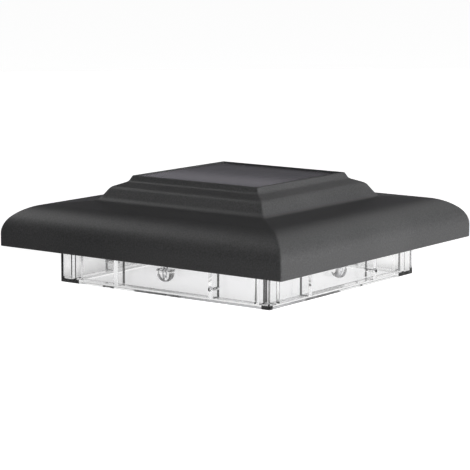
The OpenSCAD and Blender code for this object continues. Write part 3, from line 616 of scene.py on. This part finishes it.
@dataclass
class CapCasting:
    """The cast cap: skirt, shoulder, roof, tier, ledge and crown, hollow, with the panel's recess.

    Sizes are in millimetres and slopes in degrees from the level.
    """

    half: float = 100.0
    rim_z: float = 22.0
    rim_edge: float = 0.3
    height: float = 40.3
    wall: float = 2.2
    skirt: float = 7.2
    shoulder_r: float = 14.3
    crest_r: float = 25.6
    turn: float = 41.6
    roof: float = 4.5
    foot_r: float = 6.0
    tier: float = 57.0
    brow_r: float = 5.0
    ledge: float = 22.0
    ledge_run: float = 5.0
    cove_r: float = 3.0
    crown: float = 63.0
    crown_h: float = 2.2
    edge_r: float = 0.5
    flat_half: float = 44.85
    recess_half: float = 43.55
    recess_z: float = 58.8
    recess_edge: float = 0.15
    floor_t: float = 1.8
    ceiling_edge: float = 0.3
    boss_at: float = 56.0
    boss_r: float = 4.0
    boss_z: float = 27.0
    boss_top: float = 45.0
    boss_edge: float = 0.2
    boss_steps: int = 32
    bore_r: float = 1.51
    bore_l: float = 9.5
    mitre_r: float = 0.8
    inner_r: float = 1.0
    mitre_side: float = 1.5
    mitre_steps: int = 5
    row_gap: float = 0.05

    def moulding(self) -> list[tuple[float, float, float]]:
        """Half width, height above the rim and slope of the cap's outer section, from the rim up."""
        roof, tier, ledge, crown = (math.radians(a) for a in (self.roof, self.tier, self.ledge, self.crown))
        skirt = Run(90, 90, length=self.skirt)
        below = [Run(90, self.turn, self.shoulder_r), Run(self.turn, self.roof, self.crest_r)]
        foot = Run(self.roof, self.tier, self.foot_r, -1)
        above = [Run(self.tier, self.ledge, self.brow_r),
                 Run(self.ledge, self.ledge, length=self.ledge_run / math.cos(ledge)),
                 Run(self.ledge, self.crown, self.cove_r, -1),
                 Run(self.crown, self.crown, length=self.crown_h / math.sin(crown)),
                 Run(self.crown, 0, self.edge_r)]
        known = [*below, foot, *above]
        spare_in = self.half - self.flat_half - sum(run.step()[0] for run in known)
        spare_up = self.height - self.skirt - sum(run.step()[1] for run in known)
        face = (spare_up - spare_in * math.tan(roof)) / (math.sin(tier) - math.cos(tier) * math.tan(roof))
        flat = (spare_in - face * math.cos(tier)) / math.cos(roof)
        points = [(self.half, 0.0, 90.0)]
        for run in (skirt, *below, Run(self.roof, self.roof, length=flat), foot,
                    Run(self.tier, self.tier, length=face), *above):
            points += run.points(points[-1][:2])
        return points

    def first_loop(self, form: BMesh, row: Row) -> list[BMEdge]:
        """Lays the first square loop with round corners, from one corner spun round the axis.

        Args:
            form: Bmesh that gets the loop.
            row: The loop.

        Returns:
            The loop's edges.
        """
        half, z, radius = row
        near = half - radius
        first = form.verts.new(Vector((half, near - self.mitre_side, z)) * MM)
        start = form.verts.new(Vector((half, near, z)) * MM)
        form.edges.new((first, start))
        spun = bmesh.ops.spin(form, geom=[start], cent=Vector((near, near, z)) * MM, axis=(0, 0, 1),
                              angle=math.pi / 2, steps=self.mitre_steps)
        tip = next(v for v in spun["geom_last"] if isinstance(v, BMVert))
        past = form.verts.new(Vector((near - self.mitre_side, half, z)) * MM)
        form.edges.new((tip, past))
        bmesh.ops.spin(form, geom=form.verts[:] + form.edges[:], cent=(0, 0, 0), axis=(0, 0, 1),
                       angle=math.pi * 1.5, steps=3, use_duplicate=True)
        bmesh.ops.remove_doubles(form, verts=form.verts[:], dist=NEAR)
        ends = [v for v in form.verts if len(v.link_edges) == 1]
        for a in ends:
            for b in ends:
                if any(abs(a.co[k] - b.co[k]) < NEAR and a.co[1 - k] < 0 < b.co[1 - k] < abs(b.co[k])
                       for k in (0, 1)):
                    form.edges.new((a, b))
        return form.edges[:]

    @staticmethod
    def next_loop(form: BMesh, edges: list[BMEdge], old: Row, new: Row) -> list[BMEdge]:
        """Extrudes the loop and moves it to its next place.

        Args:
            form: The bmesh.
            edges: Edges of the last loop.
            old: The last loop.
            new: The next loop.

        Returns:
            Edges of the next loop.
        """
        made = bmesh.ops.extrude_edge_only(form, edges=edges)["geom"]
        scale = new[2] / old[2]
        for vert in (g for g in made if isinstance(g, BMVert)):
            for axis in (0, 1):
                sign = math.copysign(1.0, vert.co[axis])
                depth = abs(vert.co[axis]) - (old[0] - old[2]) * MM
                grown = depth * scale if depth > 0 else depth
                vert.co[axis] = sign * ((new[0] - new[2]) * MM + grown)
            vert.co.z = new[1] * MM
        return [g for g in made if isinstance(g, BMEdge) and g.is_boundary
                and all(abs(v.co.z - new[1] * MM) < NEAR for v in g.verts)]

    def build(self) -> None:
        """Lofts the shell down its inside, round the rim, over the crown and into the recess."""
        outer = self.moulding()
        ceiling = self.recess_z - self.floor_t
        inner = []
        for h, z, slope in reversed(outer):
            s = math.radians(slope)
            row = (h - self.wall * math.sin(s), z - self.wall * math.cos(s) + self.rim_z, self.inner_r)
            if row[1] < ceiling - self.row_gap:
                inner.append(row)
        top = outer[-1][1] + self.rim_z
        rows = [(inner[0][0] - self.ceiling_edge, ceiling, self.inner_r), *inner,
                (self.half - self.rim_edge, self.rim_z, self.mitre_r),
                (self.half, self.rim_z + self.rim_edge, self.mitre_r)]
        rows += [(h, z + self.rim_z, self.mitre_r) for h, z, _ in outer[1:]]
        rows += [(self.recess_half + self.recess_edge, top, self.inner_r),
                 (self.recess_half, top - self.recess_edge, self.inner_r),
                 (self.recess_half, self.recess_z, self.inner_r)]
        form = bmesh.new()
        edges = self.first_loop(form, rows[0])
        bmesh.ops.edgeloop_fill(form, edges=edges)
        for old, new in zip(rows, rows[1:]):
            edges = self.next_loop(form, edges, old, new)
        bmesh.ops.edgeloop_fill(form, edges=edges)
        bmesh.ops.recalc_face_normals(form, faces=form.faces[:])
        for x in (-1, 1):
            for y in (-1, 1):
                boss = self.boss()
                move(boss, x * self.boss_at, y * self.boss_at, 0)
                join(form, boss)
        put("cap_casting", form, Finishes.coat, "cap_shell")

    def boss(self) -> BMesh:
        """A screw boss on the axis: a tube with a blind bore that opens downwards."""
        return turned([(0, self.boss_z + self.bore_l), (self.bore_r, self.boss_z + self.bore_l),
                       (self.bore_r, self.boss_z), (self.boss_r - self.boss_edge, self.boss_z),
                       (self.boss_r, self.boss_z + self.boss_edge), (self.boss_r, self.boss_top),
                       (0, self.boss_top)], self.boss_steps)


# ---- what the cap carries


@dataclass
class SubAssembly:
    """A sub-assembly that takes its shapes from CAD nodes and gives them soft edges and a finish."""

    nodes: dict[str, Object]

    def soft(self, node: str, finish: Finish, width: float, body: Body = Body.HOUSING,
             shortest: float = 0.0012) -> None:
        """Replaces a node by a copy with its flat faces joined and its edges rounded.

        Args:
            node: The CAD node.
            finish: Finish of the copy.
            width: Width of the rounding in millimetres.
            body: Body that it rides on.
            shortest: Edges shorter than this, in metres, stay sharp.
        """
        form = bmesh.new()
        form.from_mesh(self.nodes[node].data)
        bmesh.ops.remove_doubles(form, verts=form.verts[:], dist=CAD_NEAR)
        bmesh.ops.dissolve_limit(form, angle_limit=math.radians(FLAT_DEG), verts=form.verts[:],
                                 edges=form.edges[:], use_dissolve_boundaries=False)
        soften(form, width * MM, shortest=shortest)
        put(node + "_dressed", form, finish, node, body, level=True)

    def plain(self, node: str, finish: Finish) -> None:
        """Gives a node its finish and leaves its shape.

        Args:
            node: The CAD node.
            finish: Its finish.
        """
        target = self.nodes[node]
        target.data.materials.clear()
        target.data.materials.append(finish.material())
        log.info("%s: %s", node, finish.name)


@dataclass
class SolarPanel(SubAssembly):
    """The panel in the crown: tape, board, cells, ribbons and cover."""

    def build(self) -> None:
        """Dresses every layer."""
        self.plain("panel_tape", Finishes.tape)
        self.soft("panel_backing", Finishes.backing, 0.15)
        self.plain("solar_cells", Finishes.cell)
        self.plain("cell_ribbons", Finishes.ribbon)
        self.soft("panel_cover", Finishes.cover, 0.3)


@dataclass
class LensRing(SubAssembly):
    """The clear ring under the cap."""

    def build(self) -> None:
        """Rounds the ring's edges and makes it clear."""
        self.soft("lens", Finishes.lens, 0.16)


@dataclass
class Lamp(SubAssembly):
    """One clear lamp that points down, round at its tip and flat on two sides, with its leads and board."""

    side: Side
    at: float = 70.2
    tip_z: float = 7.3
    length: float = 7.4
    radius: float = 5.0
    half_t: float = 2.5
    lip: float = 0.35
    flange_t: float = 1.0
    edge: float = 0.12
    dome_steps: int = 14
    round_steps: int = 64

    def bulb(self) -> Outline:
        """Outline of the bulb, from its tip to its body's top."""
        top = self.tip_z + self.length - self.flange_t / 2
        turns = (math.pi / 2 * i / self.dome_steps for i in range(self.dome_steps + 1))
        dome = [(self.radius * math.sin(a), self.tip_z + self.radius * (1 - math.cos(a))) for a in turns]
        return [*dome, (self.radius, top), (0.0, top)]

    def flange(self) -> Outline:
        """Outline of the flange at the bulb's top."""
        wide = self.radius + self.lip
        top = self.tip_z + self.length
        foot = top - self.flange_t
        return [(0.0, foot), (wide, foot), (wide, top), (0.0, top)]

    @staticmethod
    def flatten(form: BMesh, half_t: float) -> None:
        """Cuts two flats, one on each side of the lamp's middle plane.

        Args:
            form: The bmesh to cut.
            half_t: Half the thickness that is left, in metres.
        """
        for sign in (-1, 1):
            cut = bmesh.ops.bisect_plane(form, geom=form.verts[:] + form.edges[:] + form.faces[:], dist=NEAR,
                                         plane_co=(0, sign * half_t, 0), plane_no=(0, sign, 0),
                                         clear_outer=True)
            rim = [g for g in cut["geom_cut"] if isinstance(g, BMEdge)]
            bmesh.ops.edgeloop_fill(form, edges=rim)
        bmesh.ops.recalc_face_normals(form, faces=form.faces[:])

    def build(self) -> None:
        """Makes the bulb and dresses its leads and board."""
        label = self.side.label
        form = bmesh.new()
        for outline, half_t in ((self.bulb(), self.half_t), (self.flange(), self.half_t + self.lip)):
            part = turned(outline, self.round_steps)
            self.flatten(part, half_t * MM)
            soften(part, self.edge * MM, 30.0, shortest=0.0)
            join(form, part)
        move(form, 0, -self.at, 0)
        bmesh.ops.transform(form, verts=form.verts[:], matrix=self.side.turn())
        put("bulb_" + label, form, Finishes.bulb, "led_bulb_" + label, smooth_deg=30.0, level=True)
        self.soft("led_leads_" + label, Finishes.tinned, 0.08, shortest=0.0004)
        self.soft("lamp_board_" + label, Finishes.mask, 0.08)


@dataclass
class Tray(SubAssembly):
    """The tray under the cap with its screws, its switch and its battery door."""

    def build(self) -> None:
        """Dresses the tray and what is fixed to it."""
        self.soft("tray", Finishes.moulding, 0.25)
        self.plain("tray_screws", Finishes.plated)
        self.plain("lens_screws", Finishes.plated)
        self.soft("battery_door", Finishes.moulding, 0.25, Body.DOOR)
        self.soft("door_seal", Finishes.rubber, 0.15, Body.DOOR)
        self.soft("hinge_pin", Finishes.plated, 0.15, shortest=0.0)
        self.soft("switch_body", Finishes.shell, 0.1)
        self.soft("switch_slider", Finishes.knob, 0.15, Body.SLIDER)


@dataclass
class BatteryBay(SubAssembly):
    """Two cells with their contacts and springs."""

    cell_r: float = 7.25
    cell_len: float = 50.5
    bare_r: float = 6.5
    round_steps: int = 56
    button_r: float = 2.75
    button_h: float = 1.2
    end_x: float = 28.5
    cell_y: float = 7.5
    cell_z: float = 34.65
    wide_r: float = 4.2
    narrow_r: float = 2.6
    wire_r: float = 0.4
    turns: int = 5
    turn_steps: int = 24
    spring_len: float = 6.5
    spring_x: float = 28.55

    def outline(self) -> Outline:
        """Outline of a cell, from its button's tip to its flat end."""
        r, shoulder, end = self.cell_r, self.button_h, self.cell_len
        return [(0, 0), (self.button_r - 0.4, 0), (self.button_r, 0.3), (self.button_r, shoulder),
                (r - 1.2, shoulder), (r - 1.0, shoulder - 0.1), (r - 0.5, shoulder - 0.05),
                (r - 0.1, shoulder + 0.3), (r, shoulder + 0.8), (r, end - 0.7), (r - 0.2, end - 0.2),
                (r - 0.8, end), (r - 1.0, end - 0.12), (0, end - 0.12)]

    def cell(self, name: str, sign: int) -> None:
        """Makes one cell: a sleeve with bare ends.

        Args:
            name: The CAD node.
            sign: 1 where the button points to +X.
        """
        form = turned(self.outline(), self.round_steps)
        lay = Matrix.Rotation(-sign * math.pi / 2, 4, "Y")
        bmesh.ops.transform(form, verts=form.verts[:], matrix=lay)
        move(form, sign * self.end_x, -sign * self.cell_y, self.cell_z)
        piece = put(name + "_dressed", form, Finishes.sleeve, name, smooth_deg=30.0)
        piece.data.materials.append(Finishes.nickel.material())
        for face in piece.data.polygons:
            centre = face.center - Vector((0, -sign * self.cell_y, self.cell_z)) * MM
            if math.hypot(centre.y, centre.z) < self.bare_r * MM:
                face.material_index = 1

    def spring(self, name: str, sign: int) -> None:
        """Makes one contact spring, wide at its plate.

        Args:
            name: The CAD node.
            sign: 1 where the plate is on the +X side.
        """
        steps = self.turns * self.turn_steps
        rise = self.spring_len - 2 * self.wire_r
        route = []
        for i in range(steps + 1):
            share = i / steps
            turn = math.tau * i / self.turn_steps
            r = self.wide_r + (self.narrow_r - self.wide_r) * share - self.wire_r
            depth = self.wire_r + rise * share
            route.append(Vector((sign * (self.spring_x - depth), sign * self.cell_y + r * math.sin(turn),
                                 self.cell_z + r * math.cos(turn))) * MM)
        tube(name + "_dressed", route, self.wire_r, Finishes.nickel, name)

    def build(self) -> None:
        """Makes the cells and springs and dresses the plates."""
        self.cell("battery_cell_a", 1)
        self.cell("battery_cell_b", -1)
        self.spring("contact_spring_a", -1)
        self.spring("contact_spring_b", 1)
        for plate in ("contact_bridge", "contact_positive", "contact_negative"):
            self.soft(plate, Finishes.nickel, 0.08)


@dataclass
class Electronics(SubAssembly):
    """The circuit board and what is soldered to it."""

    board_y: float = 37.65
    top_z: float = 34.6
    inductor_x: float = 2.9
    inductor: Outline = ((0, 0), (4, 0), (4, 0.9), (3.8, 1.0), (3.45, 1.0), (3.45, 4.5), (3.8, 4.5), (4, 4.6),
                         (4, 5.3), (3.8, 5.5), (0, 5.5))
    capacitor_x: float = 13.92
    capacitor: Outline = ((0, 0), (3.15, 0), (3.15, 0.8), (2.93, 1.1), (3.15, 1.4), (3.15, 6.7), (2.85, 7.0),
                          (2.5, 6.95), (0, 6.95))

    def build(self) -> None:
        """Dresses the board and makes its round components."""
        self.soft("circuit_board", Finishes.mask, 0.12)
        self.plain("board_screws", Finishes.plated)
        self.soft("driver_chip", Finishes.package, 0.08, shortest=0.0003)
        self.soft("board_resistors", Finishes.package, 0.08, shortest=0.0003)
        self.round_part("inductor", self.inductor_x, self.inductor, Finishes.winding)
        self.round_part("capacitor", self.capacitor_x, self.capacitor, Finishes.can)

    def round_part(self, node: str, x: float, outline: Outline, finish: Finish) -> None:
        """Makes a turned component.

        Args:
            node: The CAD node.
            x: Place along the board in millimetres.
            outline: Its outline, from the board up.
            finish: Its finish.
        """
        form = turned(outline)
        move(form, x, self.board_y, self.top_z)
        put(node + "_dressed", form, finish, node, smooth_deg=40.0)


@dataclass
class Wiring:
    """The insulated wires, each along its own route over the tray's top."""

    base_z: float = 27.0
    radius: float = 0.55
    half_pitch: float = 1.27
    front: Route = (
        (0, -70.2, 1.6), (0, -70.2, 5.6), (3.84, -59.9, 7), (19.97, -39.94, 6), (39.17, -17.66, 4.5),
        (39.94, 6.14, 5), (33.79, 23.81, 10), (26.88, 29.95, 13), (24.94, 30.93, 10.6), (24.94, 30.93, 7.6))
    right: Route = (
        (70.2, 0, 1.6), (70.2, 0, 5.6), (62.21, 3.07, 8), (49.92, 13.82, 8), (39.94, 27.65, 11),
        (29.95, 36.1, 14), (23.78, 37.89, 10.6), (23.78, 37.89, 7.6))
    back: Route = (
        (0, 70.2, 1.6), (0, 70.2, 5.6), (0.77, 63.74, 9), (3.07, 56.06, 13), (6.14, 49.92, 13),
        (6.96, 47.01, 10.6), (6.96, 47.01, 7.6))
    left: Route = (
        (-70.2, 0, 1.6), (-70.2, 0, 5.6), (-62.21, 3.07, 8), (-49.92, 13.82, 8), (-39.94, 27.65, 11),
        (-30.72, 36.1, 14), (-24.94, 37.89, 10.6), (-24.94, 37.89, 7.6))
    battery_red: Route = (
        (28.8, -7.5, 19), (28.8, -7.5, 21), (30.72, -0.77, 22), (30.72, 13.82, 21), (22.27, 26.88, 16),
        (19.14, 30.93, 10.6), (19.14, 30.93, 7.6))
    battery_black: Route = (
        (28.8, 7.5, 19), (28.8, 7.5, 21), (26.11, 13.06, 22), (16.9, 25.34, 17), (15.08, 30.93, 10.6),
        (15.08, 30.93, 7.6))
    panel_red: Route = (
        (-1, 29.15, 32.3), (-1, 29.15, 27.3), (-4, 29.15, 19.95), (-14.72, 29.15, 16.6),
        (-19.72, 29.15, 10.6), (-19.72, 29.15, 7.6))
    panel_black: Route = (
        (1, 32.15, 32.3), (1, 32.15, 27.3), (-2, 32.15, 19.95), (-11.24, 32.15, 16.6),
        (-16.24, 32.15, 10.6), (-16.24, 32.15, 7.6))

    def run(self, name: str, node: str, route: Route, finish: Finish,
            across: Sequence[float] = (0, 0, 0)) -> None:
        """Makes one wire through points over the tray's top, all of them moved across."""
        points = [(Vector(p) + Vector(across) + Vector((0, 0, self.base_z))) * MM for p in route]
        tube(name, eased(eased(points)), self.radius, finish, node)

    def build(self) -> None:
        """Makes all the wires."""
        across_x = Vector((self.half_pitch, 0, 0))
        across_y = Vector((0, self.half_pitch, 0))
        for side, route, across in ((Side.FRONT, self.front, across_x), (Side.RIGHT, self.right, across_y),
                                    (Side.BACK, self.back, across_x), (Side.LEFT, self.left, across_y)):
            node = "led_wires_" + side.label
            self.run(node + "_red", node, route, Finishes.red, across)
            self.run(node + "_black", node, route, Finishes.black, -across)
        for node, route, finish in (("panel_wire_red", self.panel_red, Finishes.red),
                                    ("panel_wire_black", self.panel_black, Finishes.black),
                                    ("battery_wire_red", self.battery_red, Finishes.red),
                                    ("battery_wire_black", self.battery_black, Finishes.black)):
            self.run(node + "_dressed", node, route, finish)


# ---- the studio


@dataclass(frozen=True)
class SoftBox:
    """A soft square lamp round the light: it either lights matt surfaces or shows as a sheen."""

    name: str
    azimuth: float
    elevation: float
    power: float
    sheen: bool = False


@dataclass
class Studio:
    """Pale floor, soft lamps, world and the photograph's camera. Lengths are in metres."""

    lens_mm: float = 157.57
    eye: Sequence[float] = (0.71011, -0.97944, 0.21263)
    eye_back: Sequence[float] = (0.58174, -0.79888, 0.15284)
    eye_right: Sequence[float] = (0.80838, 0.58866, 0.0)
    eye_roll: float = -0.234
    boxes: Sequence[SoftBox] = (
        SoftBox("key_low", -30.0, 8.0, 22.7), SoftBox("key_level", 0.0, 4.0, 30.0),
        SoftBox("fill_behind", 135.0, 3.0, 14.0),
        SoftBox("sheen_right", 30.0, 12.0, 12.6, True), SoftBox("sheen_left", 180.0, 35.0, 13.0, True),
        SoftBox("sheen_back", 90.0, 25.0, 2.6, True))
    distance: float = 1.65
    aim_z: float = 0.03
    face: float = 0.9
    floor_size: float = 20.0
    floor_z: float = -0.0003
    floor_tone: float = 0.65
    white_floor: float = 0.97
    # Painted shadow of the cap: the floor's tone under it for rays that see it, and beyond it
    painted_shadow_under_cap: float = 0.46
    open_floor: float = 0.82
    # Painted glow: the floor under the cap glows and lights what is above it, the tray and the cap's inside
    fill_glow_under_cap: float = 1.5
    under_edge: Sequence[float] = (0.085, 0.11)
    shade: float = 0.08
    shade_away: Sequence[float] = (0.58, 0.8, 0.0)
    # Painted shade on the floor to the front and left, for rays that see it in reflections and through clear
    # parts
    floor_shade: Sequence[float] = (-0.2, -0.11)
    # Painted shade of the world to the front and left, for rays through clear parts
    world_shade: Sequence[float] = (-0.4, 0.2)
    sky: Sequence[tuple[float, float]] = ((0.0, 0.7), (0.05, 0.15), (0.12, 0.12), (0.19, 0.53), (0.27, 0.0),
                                          (0.4, 0.0), (0.6, 0.12), (1.0, 0.0))
    sky_tint: Colour = (0.95, 0.92, 1.0)

    def camera(self) -> None:
        """Sets the camera at the photograph's place."""
        data = bpy.data.cameras.new("camera")
        data.lens = self.lens_mm
        back = Vector(self.eye_back).normalized()
        right = Vector(self.eye_right)
        up = back.cross(right).normalized()
        roll = math.radians(self.eye_roll)
        side = right * math.cos(roll) - up * math.sin(roll)
        head = right * math.sin(roll) + up * math.cos(roll)
        matrix = Matrix((side, head, back)).transposed().to_4x4()
        matrix.translation = Vector(self.eye)
        camera = hang("camera", data)
        camera.matrix_world = matrix
        bpy.context.scene.camera = camera

    def lamp(self, box: SoftBox) -> None:
        """Hangs one soft square lamp that looks at the light.

        Args:
            box: The lamp to hang.
        """
        data = bpy.data.lights.new(box.name, "AREA")
        data.shape = "SQUARE"
        data.size = self.face
        data.energy = box.power
        lamp = hang(box.name, data)
        a, e = math.radians(box.azimuth), math.radians(box.elevation)
        away = Vector((math.cos(e) * math.cos(a), math.cos(e) * math.sin(a), math.sin(e)))
        lamp.location = Vector((0, 0, self.aim_z)) + away * self.distance
        lamp.rotation_mode = "QUATERNION"
        lamp.rotation_quaternion = away.to_track_quat("Z", "Y")
        lamp.visible_camera = False
        lamp.visible_transmission = False
        lamp.visible_glossy = box.sheen
        lamp.visible_diffuse = not box.sheen

    def floor(self) -> None:
        """Lays the pale floor."""
        form = bmesh.new()
        bmesh.ops.create_grid(form, x_segments=1, y_segments=1, size=self.floor_size,
                              matrix=Matrix.Translation((0, 0, self.floor_z)))
        mesh = mesh_of("floor", form)
        mesh.materials.append(self.floor_finish())
        hang("floor", mesh)

    def floor_finish(self) -> Material:
        """Matt, with a painted tone for rays that see it (a painted shadow under the cap and painted shade to
        the front and left), a painted glow under the cap for other rays, and clear from below.
        """
        made = bpy.data.materials.new("pale floor")
        made.use_nodes = True
        tree = made.node_tree
        tree.nodes.clear()
        matt = add(tree, "BsdfDiffuse", {"Color": (self.floor_tone, self.floor_tone, self.floor_tone, 1.0)})
        glow = add(tree, "Emission", {"Strength": self.direct(tree, self.painted_shade_tone(tree), self.white_floor)})
        # Painted glow under the cap, which lights what is above it
        fill = add(tree, "Emission", {"Strength": self.square_tone(tree, self.fill_glow_under_cap, 0.0)})
        seen = self.rays(tree, "Is Camera Ray", "Is Glossy Ray", "Is Transmission Ray")
        both = add(tree, "AddShader", {0: matt.outputs[0],
                                       1: shader_mix(tree, seen, fill.outputs[0], glow.outputs[0])})
        below = add(tree, "NewGeometry", {}).outputs["Backfacing"]
        clear = add(tree, "BsdfTransparent", {})
        whole = shader_mix(tree, below, both.outputs[0], clear.outputs[0])
        add(tree, "OutputMaterial", {"Surface": whole})
        return made

    @staticmethod
    def rays(tree: Tree, *kinds: str) -> Socket:
        """Mask of some kinds of rays.

        Args:
            tree: Node tree that gets it.
            *kinds: Outputs of the Light Path node.

        Returns:
            A socket that is 1 for a ray of any of the kinds.
        """
        path = add(tree, "LightPath", {})
        mask = path.outputs[kinds[0]]
        for kind in kinds[1:]:
            mask = math_node(tree, "MAXIMUM", mask, path.outputs[kind])
        return mask

    def direct(self, tree: Tree, tone: Socket, white: float) -> Socket:
        """Tone that gives way to a plain white where the camera sees it."""
        camera = self.rays(tree, "Is Camera Ray")
        return add(tree, "Mix", {"Factor": camera, "A": tone, "B": white}).outputs["Result"]

    def square_tone(self, tree: Tree, under: float, beyond: float) -> Socket:
        """Tone with one value on the floor under the cap and another one beyond it, for the painted shadow
        and the painted glow under the cap.
        """
        sides = (math_node(tree, "ABSOLUTE", side) for side in axes(tree, "Object")[:2])
        return span_node(tree, math_node(tree, "MAXIMUM", *sides), self.under_edge, (under, beyond))

    def side_tone(self, tree: Tree, kind: str, span: Sequence[float]) -> Socket:
        """Tone that falls off over a span, towards the shaded side, which is to the front and left."""
        inputs = {0: add(tree, "TexCoord", {}).outputs[kind], 1: self.shade_away}
        along = add(tree, "VectorMath", inputs, operation="DOT_PRODUCT").outputs["Value"]
        return span_node(tree, along, span, (self.shade, 1.0), "SMOOTHSTEP")

    def painted_shade_tone(self, tree: Tree) -> Socket:
        """Tone of the floor seen through or in the light, with a painted shadow under the cap and painted
        shade on the side to the front and left.
        """
        return math_node(tree, "MULTIPLY", self.square_tone(tree, self.painted_shadow_under_cap, self.open_floor),
                         self.side_tone(tree, "Object", self.floor_shade))

    def world(self) -> None:
        """Makes the world: white where the camera sees it, with painted shade towards the front and left for
        rays through clear parts, graded where it is reflected, and no light of its own.
        """
        world = bpy.data.worlds.new("studio")
        bpy.context.scene.world = world
        world.use_nodes = True
        tree = world.node_tree
        tree.nodes.clear()
        grade = add(tree, "FloatCurve", {"Value": axes(tree, "Generated")["Z"]})
        line = grade.mapping.curves[0]
        for point, place in zip(line.points, (self.sky[0], self.sky[-1])):
            point.location = place
        for place in self.sky[1:-1]:
            line.points.new(*place)
        grade.mapping.update()
        mirrored = math_node(tree, "MULTIPLY", grade.outputs[0], self.rays(tree, "Is Glossy Ray"))
        sheen = add(tree, "Background", {"Color": (*self.sky_tint, 1.0), "Strength": mirrored})
        # Rays through the clear parts see painted shade towards the front and left; the camera sees plain
        # white
        beyond = self.direct(tree, self.side_tone(tree, "Generated", self.world_shade), 1.0)
        white = add(tree, "Background", {"Color": (1.0, 1.0, 1.0, 1.0), "Strength": beyond})
        seen = self.rays(tree, "Is Camera Ray", "Is Transmission Ray")
        add(tree, "OutputWorld", {"Surface": shader_mix(tree, seen, sheen.outputs[0], white.outputs[0])})

    def build(self) -> None:
        """Sets camera, floor, world and lamps."""
        self.camera()
        self.floor()
        self.world()
        for box in self.boxes:
            self.lamp(box)
        bpy.context.scene.view_settings.view_transform = "Standard"


def main(frame: dict) -> None:
    """Builds every sub-assembly and the studio.
    """
    nodes = frame["nodes"]
    lamps = [Lamp(nodes, side) for side in Side]
    for part in (Studio(), CapCasting(), SolarPanel(nodes), LensRing(nodes), Tray(nodes), BatteryBay(nodes),
                 Electronics(nodes), Wiring(), *lamps):
        part.build()
        log.info("built: %s", type(part).__name__)


if __name__ == "__main__":
    logging.basicConfig(level=logging.INFO, format="%(name)s: %(message)s")
    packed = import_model()
    main(packed)
    bpy.context.view_layer.update()
